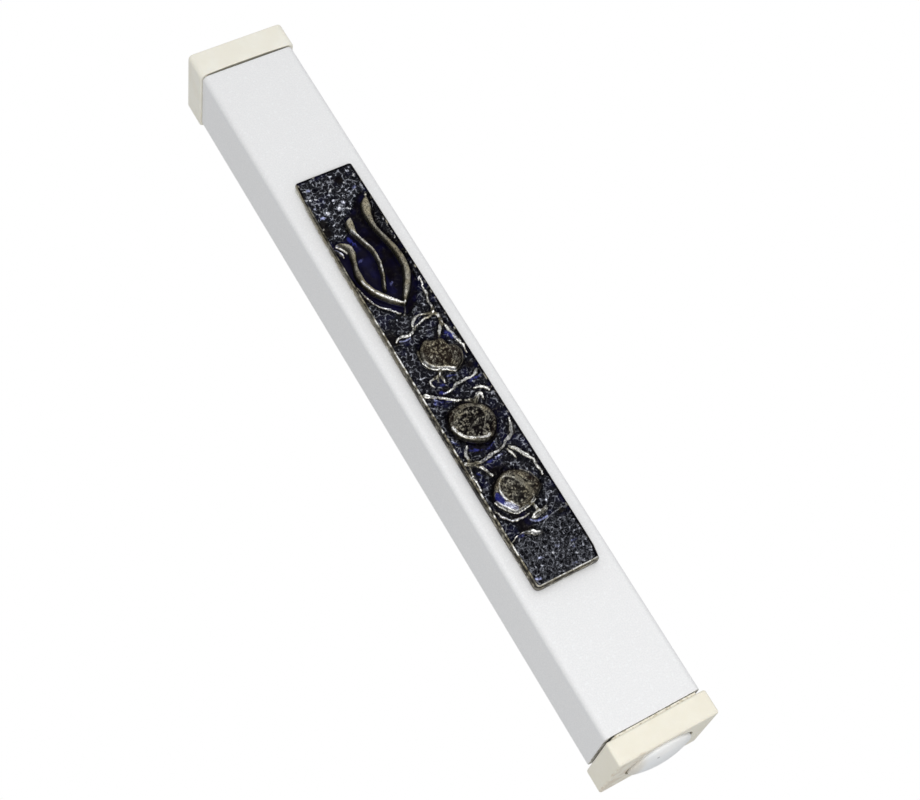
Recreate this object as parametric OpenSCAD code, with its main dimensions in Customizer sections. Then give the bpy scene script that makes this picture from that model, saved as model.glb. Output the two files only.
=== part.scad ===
// Mezuzah case: a rectangular aluminium tube closed by two moulded caps, with a
// round stopper in the bottom cap, a cast pewter plaque on the front and a strip
// of mounting tape on the back. A rolled parchment slides into it from below.
//
// Millimetres. +Z runs up the case, the front faces -Y, and the origin is the
// middle of the mounting plane on the back.

/* [Tube] */
// Width across the front
tube_w = 20; // [19:0.5:24]
// Depth from front to back
tube_d = 16; // [16:0.2:20]
// Length of the cut tube
tube_l = 153.5; // [146:0.5:180]
// Thickness of the extruded wall
wall = 1.2; // [1:0.1:1.3]
// Outer radius of the long edges
tube_r = 1.2; // [0.8:0.1:2]

/* [End caps] */
// How far the caps stand proud of the tube all round
cap_lip = 0.45; // [0.3:0.05:0.8]
// Thickness of the top cap's block
top_cap_t = 5.6; // [4:0.2:8]
// Thickness of the bottom cap's block
bottom_cap_t = 4.7; // [4:0.1:8]
// Radius of the caps' outer edges
cap_r = 0.5; // [0.4:0.1:1]
// Length of the plug that each cap pushes into the tube
plug_l = 10; // [8:1:14]
// Wall of the top cap's hollow plug
plug_wall = 1.5; // [1:0.1:2]
// Height of the ledge between the bottom cap's block and the tube
ledge_h = 0.45; // [0.2:0.05:1]
// Height of the groove between the top cap's block and the tube
groove_h = 0.25; // [0.1:0.05:0.6]

/* [Scroll hole and stopper] */
// Diameter of the scroll hole through the bottom cap
hole_dia = 12; // [11.6:0.1:12.2]
// Diameter of the stopper's domed head
head_dia = 13; // [12.6:0.1:13.4]
// Thickness of the head's rim
head_t = 1; // [0.8:0.1:1.4]
// Height of the dome over the rim
dome_h = 1.1; // [0.6:0.1:2]
// Depth of the round seat that the head sits in
seat_depth = 0.5; // [0.3:0.1:0.8]
// Length of the stopper's skirt inside the hole
skirt_l = 7; // [5:0.5:7.5]
// Radial gap between the skirt's rings and the hole
ring_gap = 0.05; // [0.02:0.01:0.1]

/* [Scroll] */
// Height of the written parchment
parchment_h = 120; // [100:1:121]
// Outer diameter of the rolled parchment
roll_dia = 10.5; // [9.5:0.1:10.5]
// Number of turns in the roll
turns = 4; // [3:1:4]
// Outer diameter of the film sleeve around the roll
sleeve_dia = 11; // [10.9:0.1:11.2]

/* [Plaque] */
// Height of the plaque
plaque_h = 94; // [80:0.5:110]
// Width at the top edge
plaque_top_w = 13.2; // [12.3:0.1:14]
// Width at the bottom edge
plaque_bottom_w = 14; // [12.9:0.1:15]
// Thickness of the casting, relief included
plaque_t = 2; // [1.8:0.1:3]
// Height of the middle of the plaque above the middle of the tube
plaque_z = -1.4; // [-4:0.1:4]

/* [Mounting tape] */
// Width of the foam tape
tape_w = 12; // [8:0.5:16]
// Length of the foam tape
tape_l = 120; // [80:1:130]
// Thickness of the foam tape
tape_t = 1; // [0.9:0.1:1.6]

/* [Hidden] */

$fn = 96;
edge_fn = 32;   // facets round the plaque's corners
stroke_fn = 8;  // facets round the end of a relief stroke
eps = 0.5;      // how far a cutter runs past the face it opens

// Layers behind and in front of the tube, from the mounting plane at y = 0
liner_t = 0.1;
liner_tab = 5;
tube_back = -(liner_t + tape_t);
tube_mid = tube_back - tube_d / 2;
tube_front = tube_back - tube_d;
adhesive_t = 0.2;
adhesive_inset = 0.6;

// Ends of the tube, the caps' blocks and the stopper's seat
tube_top = tube_l / 2;
tube_bottom = -tube_l / 2;
seam = 0.1;     // hairline between the ledge and the cut end of the tube
block_top = tube_bottom - seam - ledge_h;
case_bottom = block_top - bottom_cap_t;
seat_z = case_bottom + seat_depth;

// Plugs: a little smaller than the tube's inside, with crush ribs up to its wall
plug_gap = 0.15;
inner_w = tube_w - 2 * wall;
inner_d = tube_d - 2 * wall;
inner_r = 0.5;
plug_w = inner_w - 2 * plug_gap;
plug_d = inner_d - 2 * plug_gap;
rib_w = 0.8;
rib_inset = 1;  // from each end of the plug's length inside the tube
rib_l = plug_l - 2 * rib_inset;
ledge_inset = 0.15;       // from the tube's front and back
ledge_side_inset = 1.2;   // from its sides, where the ledge stops short
ledge_r = 0.3;
groove_inset = 0.7;
seat_dia = head_dia + 0.8;

// Stopper skirt: a thin cup with three sealing rings
ring_dia = hole_dia - 2 * ring_gap;
skirt_dia = hole_dia - 1;
skirt_bore = skirt_dia - 2.6;
skirt_floor = 1.2;
ring_t = 0.8;
dome_radius = (pow(head_dia / 2, 2) + dome_h * dome_h) / (2 * dome_h);

// Scroll: the sleeve is a little longer than the parchment at each end
parchment_t = 0.28;
roll_pitch = 0.4;
roll_step = 15;   // degrees between points of the spiral
sleeve_t = 0.15;
sleeve_over = 1;
scroll_gap = 0.5;
sleeve_bottom = seat_z + skirt_l + scroll_gap;

// Relief heights above the plaque's back, as shares of its thickness
ground = plaque_t * 0.6;
rim_h = plaque_t * 0.75;
branch_h = plaque_t * 0.8;
letter_h = plaque_t * 0.95;
rim_w = 0.5;
corner_r = 0.8;

// Relief strokes: [x, z, half width] from the middle of the plaque
SHIN = [
    [[5.4, 38.6, 0.1], [4.2, 36.2, 0.9], [3.5, 32.4, 0.45], [4.5, 27.2, 0.55], [4.9, 22.9, 0.65],
     [3.5, 18.4, 0.7], [0.5, 14.2, 0.4]],
    [[0, 35.1, 0.2], [-0.6, 33.6, 0.75], [-0.6, 31.6, 0.35], [0.7, 27.2, 0.38], [0.4, 23.4, 0.38],
     [-1.5, 18, 0.35]],
    [[-5.1, 31, 0.1], [-3.1, 29.3, 0.6], [-3.9, 25.9, 0.5], [-4.5, 22.9, 0.65], [-3.7, 19, 0.6],
     [0.5, 14.1, 0.4]],
];
BRANCHES = [
    [[5.7, 17.8, 0.15], [5.1, 13.1, 0.25], [4.5, 10.3, 0.35], [5.1, 8.5, 0.3], [3.1, 5, 0.3]],
    [[4.5, 10.3, 0.3], [1.6, 10.7, 0.25], [-0.8, 8.5, 0.3], [-3, 8, 0.25], [-4.9, 7.5, 0.15]],
    [[4.9, 7, 0.2], [5.8, 2.5, 0.25], [5.8, -0.1, 0.15]],
    [[-5.7, -4.9, 0.35], [-2.8, -6.5, 0.25], [0, -8.3, 0.15]],
    [[-2.3, -5.7, 0.15], [1.3, -5, 0.25], [5.8, -4.1, 0.2]],
    [[-5.9, -20.2, 0.3], [-3, -20.9, 0.3], [1.6, -20.2, 0.3], [4.7, -18.4, 0.3], [5.9, -15.7, 0.2]],
    [[-4.9, -20.5, 0.2], [-4.7, -18.2, 0.25], [-3.7, -17, 0.15]],
    [[-4.4, -21, 0.2], [-3.4, -22.4, 0.25], [-2.7, -24.4, 0.2]],
    [[3.2, -20.5, 0.2], [4.4, -22.3, 0.3], [5.7, -24, 0.25], [5.8, -28, 0.2]],
    [[-5.7, -30.4, 0.15], [-4.1, -33.5, 0.25], [-0.4, -33.9, 0.15]],
];
// Pomegranates: body outline, then the crown's neck as a stroke
FRUITS = [
    [[[-0.1, 5.6], [3.1, 4.7], [5, 1.5], [4.2, -1.3], [2.2, -2.4], [-0.5, -1.2], [-2.5, 1.3], [-1.6, 4.7]],
     [[-0.3, -1.3, 0.5], [-1, -2.3, 0.5], [-2.8, -2.7, 0.3], [-3.2, -3.9, 0.1]]],
    [[[-0.5, -9.1], [2.6, -10.3], [4, -13.3], [2.9, -16.4], [0.3, -17.9], [-3.2, -16.3], [-4.8, -13.3],
      [-3.4, -10.1]],
     [[1.8, -10.2, 0.6], [3, -9, 0.5], [3.6, -8.3, 0.3], [3.9, -9.5, 0.1]]],
    [[[-0.6, -24.6], [2.6, -25.7], [4.3, -29], [2.4, -31.3], [-0.8, -32.5], [-3, -31.9], [-4.8, -29.1],
      [-3, -25.8]],
     [[1, -31.9, 0.5], [1.5, -33.5, 0.4], [1.6, -34.4, 0.5], [0, -34.9, 0.15]]],
];
fruit_h = plaque_t * 0.85;
fruit_crown = 0.68;   // share of the outline that the raised facet covers

// Catmull-Rom curve through the rows of p, between rows i and i + 1
function on_curve(p, i, t, closed) =
    let (n = len(p),
         a = closed ? p[(i + n - 1) % n] : p[max(i - 1, 0)],
         b = p[i],
         c = p[(i + 1) % n],
         d = closed ? p[(i + 2) % n] : p[min(i + 2, n - 1)])
    0.5 * (2 * b + (c - a) * t + (2 * a - 5 * b + 4 * c - d) * t * t
           + (3 * b - a - 3 * c + d) * t * t * t);
function open_curve(p, steps = 3) =
    concat([for (i = [0 : len(p) - 2], k = [0 : steps - 1]) on_curve(p, i, k / steps, false)],
           [p[len(p) - 1]]);
function closed_curve(p, steps = 3) =
    [for (i = [0 : len(p) - 1], k = [0 : steps - 1]) on_curve(p, i, k / steps, true)];

// Rectangle with true arcs at its corners, centred
module round_rect(w, d, r) {
    square([w - 2 * r, d], center = true);
    square([w, d - 2 * r], center = true);
    for (x = [-1, 1], y = [-1, 1])
        translate([x * (w / 2 - r), y * (d / 2 - r)]) circle(r);
}

// Upright prism on the tube's axis, from z0 to z1
module prism(w, d, r, z0, z1) {
    translate([0, tube_mid, z0]) linear_extrude(z1 - z0) round_rect(w, d, r);
}

// Upright cylinder on the tube's axis, from z0 to z1
module rod(dia, z0, z1) {
    translate([0, tube_mid, z0]) cylinder(d = dia, h = z1 - z0);
}

// Block of a cap from z0 to z1: rounded in plan, in front view and in side view
module cap_block(z0, z1) {
    w = tube_w + 2 * cap_lip;
    d = tube_d + 2 * cap_lip;
    h = z1 - z0;
    translate([0, tube_mid, (z0 + z1) / 2]) intersection() {
        translate([0, 0, -h / 2]) linear_extrude(h) round_rect(w, d, cap_r);
        rotate([90, 0, 0]) translate([0, 0, -d / 2]) linear_extrude(d) round_rect(w, h, cap_r);
        rotate([90, 0, 90]) translate([0, 0, -w / 2]) linear_extrude(w) round_rect(d, h, cap_r);
    }
}

// Solid plug from z0 to z1, with crush ribs that reach the tube's wall from rib_z
module plug(z0, z1, rib_z) {
    prism(plug_w, plug_d, inner_r, z0, z1);
    translate([0, tube_mid, rib_z + rib_l / 2]) {
        for (x = [-plug_w / 4, plug_w / 4])
            translate([x, 0, 0]) cube([rib_w, inner_d, rib_l], center = true);
        cube([inner_w, rib_w, rib_l], center = true);
    }
}

// Raised stroke on the plaque, h above its back
module stroke(p, h) {
    q = open_curve(p);
    linear_extrude(h) for (i = [0 : len(q) - 2]) hull()
        for (v = [q[i], q[i + 1]]) translate([v[0], v[1]]) circle(v[2], $fn = stroke_fn);
}

// Outline of the plaque, drawn in by inset, standing h above its back
module plaque_slab(inset, h) {
    linear_extrude(h) hull()
        for (side = [-1, 1], end = [[-1, plaque_bottom_w], [1, plaque_top_w]])
            translate([side * (end[1] / 2 - corner_r), end[0] * (plaque_h / 2 - corner_r)])
                circle(corner_r - inset, $fn = edge_fn);
}

// Pomegranate: a faceted body in two steps, with its crown
module fruit(outline, crown) {
    body = closed_curve(outline);
    middle = [for (axis = [0, 1]) let (v = [for (p = outline) p[axis]]) (min(v) + max(v)) / 2];
    linear_extrude(fruit_h) polygon(body);
    linear_extrude(plaque_t) translate(middle) scale(fruit_crown) translate(-middle) polygon(body);
    stroke(crown, branch_h);
}

// Extruded tube, open at both ends
module case_tube() {
    color("whitesmoke") difference() {
        prism(tube_w, tube_d, tube_r, tube_bottom, tube_top);
        prism(inner_w, inner_d, inner_r, tube_bottom - eps, tube_top + eps);
    }
}

// Closed cap on a narrower seat, with a hollow plug that goes down into the tube
module top_cap() {
    plug_bottom = tube_top - plug_l;
    block_foot = tube_top + groove_h;
    color("ivory") difference() {
        union() {
            cap_block(block_foot, block_foot + top_cap_t);
            prism(tube_w - 2 * groove_inset, tube_d - 2 * groove_inset, inner_r,
                  tube_top, block_foot + cap_r);
            plug(plug_bottom, block_foot, plug_bottom + rib_inset);
        }
        prism(plug_w - 2 * plug_wall, plug_d - 2 * plug_wall, inner_r, plug_bottom - eps, tube_top);
    }
}

// Cap with the scroll hole, the stopper's round seat and a ledge under the tube
module bottom_cap() {
    plug_top = tube_bottom + plug_l;
    color("ivory") difference() {
        union() {
            cap_block(case_bottom, block_top);
            prism(tube_w - 2 * ledge_side_inset, tube_d - 2 * ledge_inset, ledge_r,
                  block_top - cap_r, tube_bottom - seam);
            plug(block_top - cap_r, plug_top, tube_bottom + rib_inset);
        }
        rod(hole_dia, case_bottom - eps, plug_top + eps);
        rod(seat_dia, case_bottom - eps, seat_z);
    }
}

// Domed stopper: its head rests in the seat and its ringed skirt fills the hole
module scroll_stopper() {
    rim_z = seat_z - head_t;
    color("white") {
        rod(head_dia, rim_z, seat_z);
        difference() {
            translate([0, tube_mid, rim_z - dome_h + dome_radius]) sphere(dome_radius);
            rod(3 * dome_radius, rim_z, rim_z + 3 * dome_radius);
        }
        difference() {
            union() {
                rod(skirt_dia, seat_z, seat_z + skirt_l);
                for (i = [0 : 2]) let (z = seat_z + ring_t + i * (skirt_l - 2 * ring_t) / 2.5)
                    rod(ring_dia, z, z + ring_t);
            }
            rod(skirt_bore, seat_z + skirt_floor, seat_z + skirt_l + eps);
        }
    }
}

// Cast plaque: plate, raised rim, the letter's three strokes, branches and pomegranates
module plaque() {
    color("dimgray") translate([0, tube_front - adhesive_t, plaque_z]) rotate([90, 0, 0]) {
        difference() {
            plaque_slab(0, rim_h);
            translate([0, 0, ground]) plaque_slab(rim_w, plaque_t);
        }
        for (p = SHIN) stroke(p, letter_h);
        for (p = BRANCHES) stroke(p, branch_h);
        for (f = FRUITS) fruit(f[0], f[1]);
    }
}

// Film of adhesive under the plaque, a little smaller than it
module plaque_adhesive() {
    w = plaque_top_w - 2 * adhesive_inset;
    l = plaque_h - 2 * adhesive_inset;
    color("gainsboro") translate([-w / 2, tube_front - adhesive_t, plaque_z - l / 2])
        cube([w, adhesive_t, l]);
}

// Foam tape on the back of the tube
module mounting_tape() {
    color("lightgray") translate([-tape_w / 2, tube_back, -tape_l / 2]) cube([tape_w, tape_t, tape_l]);
}

// Paper liner over the tape, with a pull tab past its lower end
module tape_liner() {
    color("linen") translate([-tape_w / 2, -liner_t, -tape_l / 2 - liner_tab])
        cube([tape_w, liner_t, tape_l + liner_tab]);
}

// Rolled parchment: one flat spiral, extruded
module scroll_parchment() {
    outer = [for (a = [0 : roll_step : 360 * turns])
        (roll_dia / 2 - roll_pitch * (turns - a / 360)) * [cos(a), sin(a)]];
    inner = [for (a = [360 * turns : -roll_step : 0])
        (roll_dia / 2 - parchment_t - roll_pitch * (turns - a / 360)) * [cos(a), sin(a)]];
    color("wheat") translate([0, tube_mid, sleeve_bottom + sleeve_over])
        linear_extrude(parchment_h) polygon(concat(outer, inner));
}

// Clear film sleeve that keeps the roll closed
module scroll_sleeve() {
    sleeve_top = sleeve_bottom + parchment_h + 2 * sleeve_over;
    color("lightcyan") difference() {
        rod(sleeve_dia, sleeve_bottom, sleeve_top);
        rod(sleeve_dia - 2 * sleeve_t, sleeve_bottom - eps, sleeve_top + eps);
    }
}

case_tube();
top_cap();
bottom_cap();
scroll_stopper();
plaque();
plaque_adhesive();
mounting_tape();
tape_liner();
scroll_parchment();
scroll_sleeve();
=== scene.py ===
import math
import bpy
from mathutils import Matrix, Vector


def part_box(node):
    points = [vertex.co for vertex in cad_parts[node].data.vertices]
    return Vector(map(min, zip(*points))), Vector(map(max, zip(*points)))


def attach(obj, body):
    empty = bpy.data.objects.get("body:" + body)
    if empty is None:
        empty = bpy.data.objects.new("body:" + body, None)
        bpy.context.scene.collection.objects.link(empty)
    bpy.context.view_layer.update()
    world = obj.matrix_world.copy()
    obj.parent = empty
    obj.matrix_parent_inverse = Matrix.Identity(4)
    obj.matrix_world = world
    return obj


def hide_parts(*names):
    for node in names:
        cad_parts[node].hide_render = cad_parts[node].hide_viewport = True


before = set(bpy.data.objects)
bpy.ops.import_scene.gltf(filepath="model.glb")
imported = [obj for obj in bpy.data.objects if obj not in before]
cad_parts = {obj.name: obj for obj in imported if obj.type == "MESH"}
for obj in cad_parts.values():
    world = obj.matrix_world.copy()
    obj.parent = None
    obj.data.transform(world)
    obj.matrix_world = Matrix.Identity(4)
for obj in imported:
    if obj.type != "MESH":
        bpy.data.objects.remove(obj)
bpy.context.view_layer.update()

# Looks of the mezuzah case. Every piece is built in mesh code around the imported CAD
# frame, in its place, and carries a procedural material. The pieces' lengths are in
# millimetres until build() writes them as metres. The floor, the lamps and the camera
# are in metres.

from types import SimpleNamespace

import bmesh
import bpy
import numpy as np
from mathutils import Matrix, Vector

MM = 0.001


def span(node):
    """Lowest and highest corner of a CAD node, in millimetres."""
    lo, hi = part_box(node)
    return np.array(lo) / MM, np.array(hi) / MM


TUBE_LO, TUBE_HI = span("case_tube")
TUBE_W = TUBE_HI[0] - TUBE_LO[0]
TUBE_D = TUBE_HI[1] - TUBE_LO[1]
TUBE_TOP, TUBE_FOOT, TUBE_FRONT = TUBE_HI[2], TUBE_LO[2], TUBE_LO[1]
CASE_FOOT = span("bottom_cap")[0][2]
MID_Y = (TUBE_LO[1] + TUBE_HI[1]) / 2
WALL, TUBE_R = 1.2, 1.2
INNER_W, INNER_D, INNER_R = TUBE_W - 2 * WALL, TUBE_D - 2 * WALL, 0.5


# ---------------------------------------------------------------- mesh helpers

def build(name, verts, faces, body, nodes, material, sharp_deg=32):
    """Mesh object from points in millimetres, riding on body and standing for nodes."""
    mesh = bpy.data.meshes.new(name)
    mesh.from_pydata((np.asarray(verts, float) * MM).tolist(), [], faces)
    bm = bmesh.new()
    bm.from_mesh(mesh)
    bmesh.ops.recalc_face_normals(bm, faces=bm.faces)
    limit = math.radians(sharp_deg)
    for e in bm.edges:
        e.smooth = not (e.is_manifold and e.calc_face_angle(0) > limit)
    for f in bm.faces:
        f.smooth = True
    bm.to_mesh(mesh)
    bm.free()
    mesh.update()
    obj = bpy.data.objects.new(name, mesh)
    bpy.context.scene.collection.objects.link(obj)
    mesh.materials.append(material)
    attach(obj, body)
    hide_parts(*nodes)
    return obj


def loft(rings, loop=False, ends=True):
    """Quads between rings of the same length; the ends are closed unless it loops."""
    n, count = len(rings[0]), len(rings)
    verts = [p for ring in rings for p in ring]
    faces = []
    for i in range(count if loop else count - 1):
        a, b = i * n, (i + 1) % count * n
        faces += [(a + k, a + (k + 1) % n, b + (k + 1) % n, b + k) for k in range(n)]
    if ends and not loop:
        faces.append(tuple(reversed(range(n))))
        faces.append(tuple(range((count - 1) * n, count * n)))
    return verts, faces


CORNER_STEPS = 8
SUPPORT = 0.25                       # width of the narrow strips beside rounded edges
RIB_X, RIB_HALF, RIB_TOP = 4.325, 0.4, 0.25
# Where every ring has points along its sides, so that the crush ribs have their edges
X_MARKS = [RIB_X + RIB_HALF, RIB_X + RIB_TOP, RIB_X - RIB_TOP, RIB_X - RIB_HALF, 1.5]
Y_MARKS = [2.2, RIB_HALF, RIB_TOP]


def rect_ring(w, d, r, z, rib=0.0):
    """Rounded rectangle round the case's axis. Any two have the same number of points.
    rib pushes the crush ribs' tops out from the sides."""
    r = max(r, 0.02)
    hx, hy = w / 2 - r, d / 2 - r
    xs = [hx - SUPPORT] + X_MARKS + [0.0] + [-m for m in reversed(X_MARKS)] + [SUPPORT - hx]
    ys = [hy - SUPPORT] + Y_MARKS + [-m for m in reversed(Y_MARKS)] + [SUPPORT - hy]
    out = []

    def corner(sx, sy, start):
        for k in range(CORNER_STEPS + 1):
            a = math.radians(start + 90 * k / CORNER_STEPS)
            out.append((sx * hx + r * math.cos(a), MID_Y + sy * hy + r * math.sin(a), z))

    def push(v, middle):
        return rib if abs(abs(v) - middle) < RIB_TOP + 0.01 else 0.0

    corner(1, 1, 0)
    out += [(x, MID_Y + d / 2 + push(x, RIB_X), z) for x in xs]
    corner(-1, 1, 90)
    out += [(-w / 2 - push(y, 0), MID_Y + y, z) for y in ys]
    corner(-1, -1, 180)
    out += [(-x, MID_Y - d / 2 - push(x, RIB_X), z) for x in xs]
    corner(1, -1, 270)
    out += [(w / 2 + push(y, 0), MID_Y - y, z) for y in ys]
    return out


RING_N = len(rect_ring(20, 16, 1, 0))


def circle_ring(radius, z, n=RING_N, start=None):
    """Circle round the case's axis. Without start, its points are in step with rect_ring's."""
    if start is None:
        start = math.radians(45) - 2 * math.pi * (CORNER_STEPS / 2) / n
    angles = [start + 2 * math.pi * k / n for k in range(n)]
    return [(radius * math.cos(a), MID_Y + radius * math.sin(a), z) for a in angles]


def arc(radius, steps):
    """(distance in, distance along) pairs of a quarter turn, from the face to the side."""
    angles = [math.pi / 2 * k / steps for k in range(steps + 1)]
    return [(radius * (1 - math.sin(a)), radius * (1 - math.cos(a))) for a in angles]


# ---------------------------------------------------------------- material helpers

class Nodes:
    """Node tree of one material, written as expressions. Sizes and places are in mm."""

    def __init__(self, name):
        self.material = bpy.data.materials.new(name)
        self.material.use_nodes = True
        self.tree = self.material.node_tree
        self.tree.nodes.clear()
        self.bsdf = self.add("BsdfPrincipled")
        self.add("OutputMaterial", {"Surface": self.bsdf.outputs[0]})
        self.place = self.add("TexCoord").outputs["Object"]

    def put(self, node, key, value):
        socket = node.inputs[key]
        if isinstance(value, bpy.types.NodeSocket):
            self.tree.links.new(value, socket)
        else:
            socket.default_value = value

    def add(self, kind, inputs=(), **settings):
        """New shader node, with its settings and then its inputs by name or number."""
        node = self.tree.nodes.new("ShaderNode" + kind)
        for key, value in settings.items():
            setattr(node, key, value)
        for key, value in dict(inputs).items():
            self.put(node, key, value)
        return node

    def shader(self, **values):
        for key, value in values.items():
            self.put(self.bsdf, key.replace("_", " "), value)
        return self.material

    def noise(self, size, detail=2.0, rough=0.5, stretch=(1, 1, 1), seed=0.0):
        place = self.place
        if stretch != (1, 1, 1) or seed:
            place = self.add("Mapping", {"Vector": place, "Scale": stretch,
                                         "Location": (seed, seed * 0.7, seed * 1.3)}).outputs[0]
        return self.add("TexNoise", {"Vector": place, "Scale": 1 / (size * MM), "Detail": detail,
                                     "Roughness": rough}).outputs["Fac"]

    def network(self, size, warp, seed=0.0):
        """Distance to the nearest border of irregular cells drawn on the front plane."""
        flat = self.add("Mapping", {"Vector": self.place, "Scale": (1, 0, 1),
                                    "Location": (seed * MM, 0, seed * MM)}).outputs[0]
        bend = self.add("TexNoise", {"Vector": flat, "Scale": 0.7 / (size * MM)})
        bent = self.add("VectorMath", {0: bend.outputs["Color"], 1: (warp * MM, 0, warp * MM),
                                       2: flat}, operation="MULTIPLY_ADD").outputs[0]
        return self.add("TexVoronoi", {"Vector": bent, "Scale": 1 / (size * MM)},
                        feature="DISTANCE_TO_EDGE").outputs["Distance"]

    def ramp(self, value, low, high, to=(0.0, 1.0)):
        """Smooth step of value from low to high, onto the range to."""
        return self.add("MapRange", {"Value": value, "From Min": low, "From Max": high,
                                     "To Min": to[0], "To Max": to[1]},
                        interpolation_type="SMOOTHSTEP").outputs[0]

    def mix(self, share, a, b):
        a, b = ((*color, 1.0) if isinstance(color, tuple) else color for color in (a, b))
        return self.add("Mix", {0: share, 6: a, 7: b}, data_type="RGBA").outputs[2]

    def math(self, operation, a, b):
        return self.add("Math", {0: a, 1: b}, operation=operation).outputs[0]

    def times(self, product, *masks):
        for mask in masks:
            product = self.math("MULTIPLY", product, mask)
        return product

    def bump(self, height, strength, depth, normal=None):
        node = self.add("Bump", {"Height": height, "Strength": strength, "Distance": depth * MM})
        if normal is not None:
            self.put(node, "Normal", normal)
        return node.outputs[0]

    def zone(self, axis, low, high, fade):
        """1 where the X, Y or Z of a point is from low to high, 0 from fade beyond them."""
        at = self.add("SeparateXYZ", {0: self.place}).outputs[axis]
        return self.times(self.ramp(at, (low - fade) * MM, low * MM),
                          self.ramp(at, high * MM, (high + fade) * MM, (1.0, 0.0)))


# ---------------------------------------------------------------- materials

def powder_coat():
    m = Nodes("powder_coat")
    grain = m.noise(0.28, 3.0, 0.6)
    speck = m.ramp(m.noise(0.5, 1.0, 0.4, seed=3.1), 0.60, 0.72)
    shade = m.mix(m.ramp(grain, 0.3, 0.7), (0.775, 0.775, 0.78), (0.845, 0.837, 0.835))
    color = m.mix(speck, shade, (0.85, 0.852, 0.855))
    # A broken dark band along the tube's lower cut edge.
    cut = m.zone("Z", TUBE_FOOT - 0.05, TUBE_FOOT + 0.03, 0.02)
    cut_edge_dark_band = m.ramp(m.noise(0.9, 2.0, 0.6, seed=8.0), 0.46, 0.64, (0.05, 0.85))
    color = m.mix(m.times(cut, cut_edge_dark_band), color, (0.22, 0.20, 0.16))
    peel = m.noise(0.9, 1.0, 0.4, seed=1.7)
    normal = m.bump(grain, 0.30, 0.03, m.bump(peel, 0.4, 0.03))
    return m.shader(Base_Color=color, Roughness=m.ramp(grain, 0.2, 0.8, (0.42, 0.54)),
                    IOR=1.5, Normal=normal)


def ivory(name, dark, light, soil_and_shade_masks):
    """The last argument takes the node set and gives [(mask, colour)] of soil and painted shade for
    the seams.
    """
    m = Nodes(name)
    cloud = m.noise(6.0, 3.0, 0.55)
    grain = m.noise(0.25, 2.0, 0.5, seed=2.0)
    color = m.mix(m.ramp(cloud, 0.35, 0.65), dark, light)
    color = m.mix(m.ramp(grain, 0.55, 0.8, (0.0, 0.25)), color, tuple(0.92 * c for c in dark))
    for mask, soil_and_shade_color in soil_and_shade_masks(m):
        color = m.mix(mask, color, soil_and_shade_color)
    normal = m.bump(grain, 0.25, 0.02, m.bump(m.noise(2.5, 1.0, 0.5, seed=5.0), 0.35, 0.05))
    return m.shader(Base_Color=color, Roughness=m.ramp(cloud, 0.3, 0.7, (0.4, 0.5)),
                    IOR=1.49, Normal=normal, Subsurface_Weight=0.04,
                    Subsurface_Radius=(0.0009, 0.0007, 0.0004), Subsurface_Scale=1.0)


def top_groove_shade(m):
    """Painted shade in the groove under the front of the top cap."""
    groove_painted_shade = m.times(m.zone("Z", TUBE_TOP - 0.15, TUBE_TOP + 0.27, 0.04),
                     m.zone("X", -8.3, 8.4, 1.6),
                     m.zone("Y", TUBE_FRONT - 0.24, TUBE_FRONT + 3.1, 0.08))
    return [(m.times(groove_painted_shade, 0.9), (0.27, 0.25, 0.19))]


def bottom_soil_and_shade(m):
    """Painted shade in the joint round the bottom cap's ledge, in its open corner and in the
    stopper's seat, darker specks on the ledge, and soil smudges on its end face.
    """
    above = TUBE_FOOT + 0.15
    spots = m.ramp(m.noise(0.55, 3.0, 0.6, seed=4.0), 0.50, 0.60)
    broken = m.ramp(m.noise(1.1, 2.0, 0.6, seed=7.0), 0.42, 0.56)
    # Painted shade: a broken dark hairline in the joint under the tube's end.
    lip = m.times(m.zone("Z", TUBE_FOOT - 0.12, above, 0.03), broken)
    # Darker specks along the front of the ledge.
    specks = m.times(m.zone("Z", TUBE_FOOT - 0.53, above, 0.04), spots,
                     m.zone("Y", TUBE_FRONT - 0.1, TUBE_FRONT + 0.6, 0.1))
    # Painted shade in the open gap along the left side and corner.
    side = m.times(m.zone("Z", TUBE_FOOT - 0.27, above, 0.05), m.zone("X", -10.1, -8.3, 0.15))
    # Painted shade in the stopper's seat recess.
    seat = m.times(m.zone("Z", CASE_FOOT + 0.06, CASE_FOOT + 0.6, 0.04),
                   m.zone("X", -7.1, 7.1, 0.2), m.zone("Y", MID_Y - 7.1, MID_Y + 7.1, 0.2))
    # Soil: brownish smudges on the left of the end face.
    smudge = m.times(m.zone("Z", CASE_FOOT - 0.2, CASE_FOOT + 0.3, 0.2),
                     m.zone("X", -10.5, -4.0, 3.0),
                     m.ramp(m.noise(2.2, 3.0, 0.6, seed=1.0), 0.42, 0.62))
    return [(m.times(smudge, 0.55), (0.62, 0.50, 0.38)), (m.times(specks, 0.6), (0.36, 0.29, 0.17)),
            (m.times(seat, 0.65), (0.36, 0.33, 0.26)), (m.times(lip, 0.75), (0.10, 0.08, 0.05)),
            (side, (0.035, 0.028, 0.02))]


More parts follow.
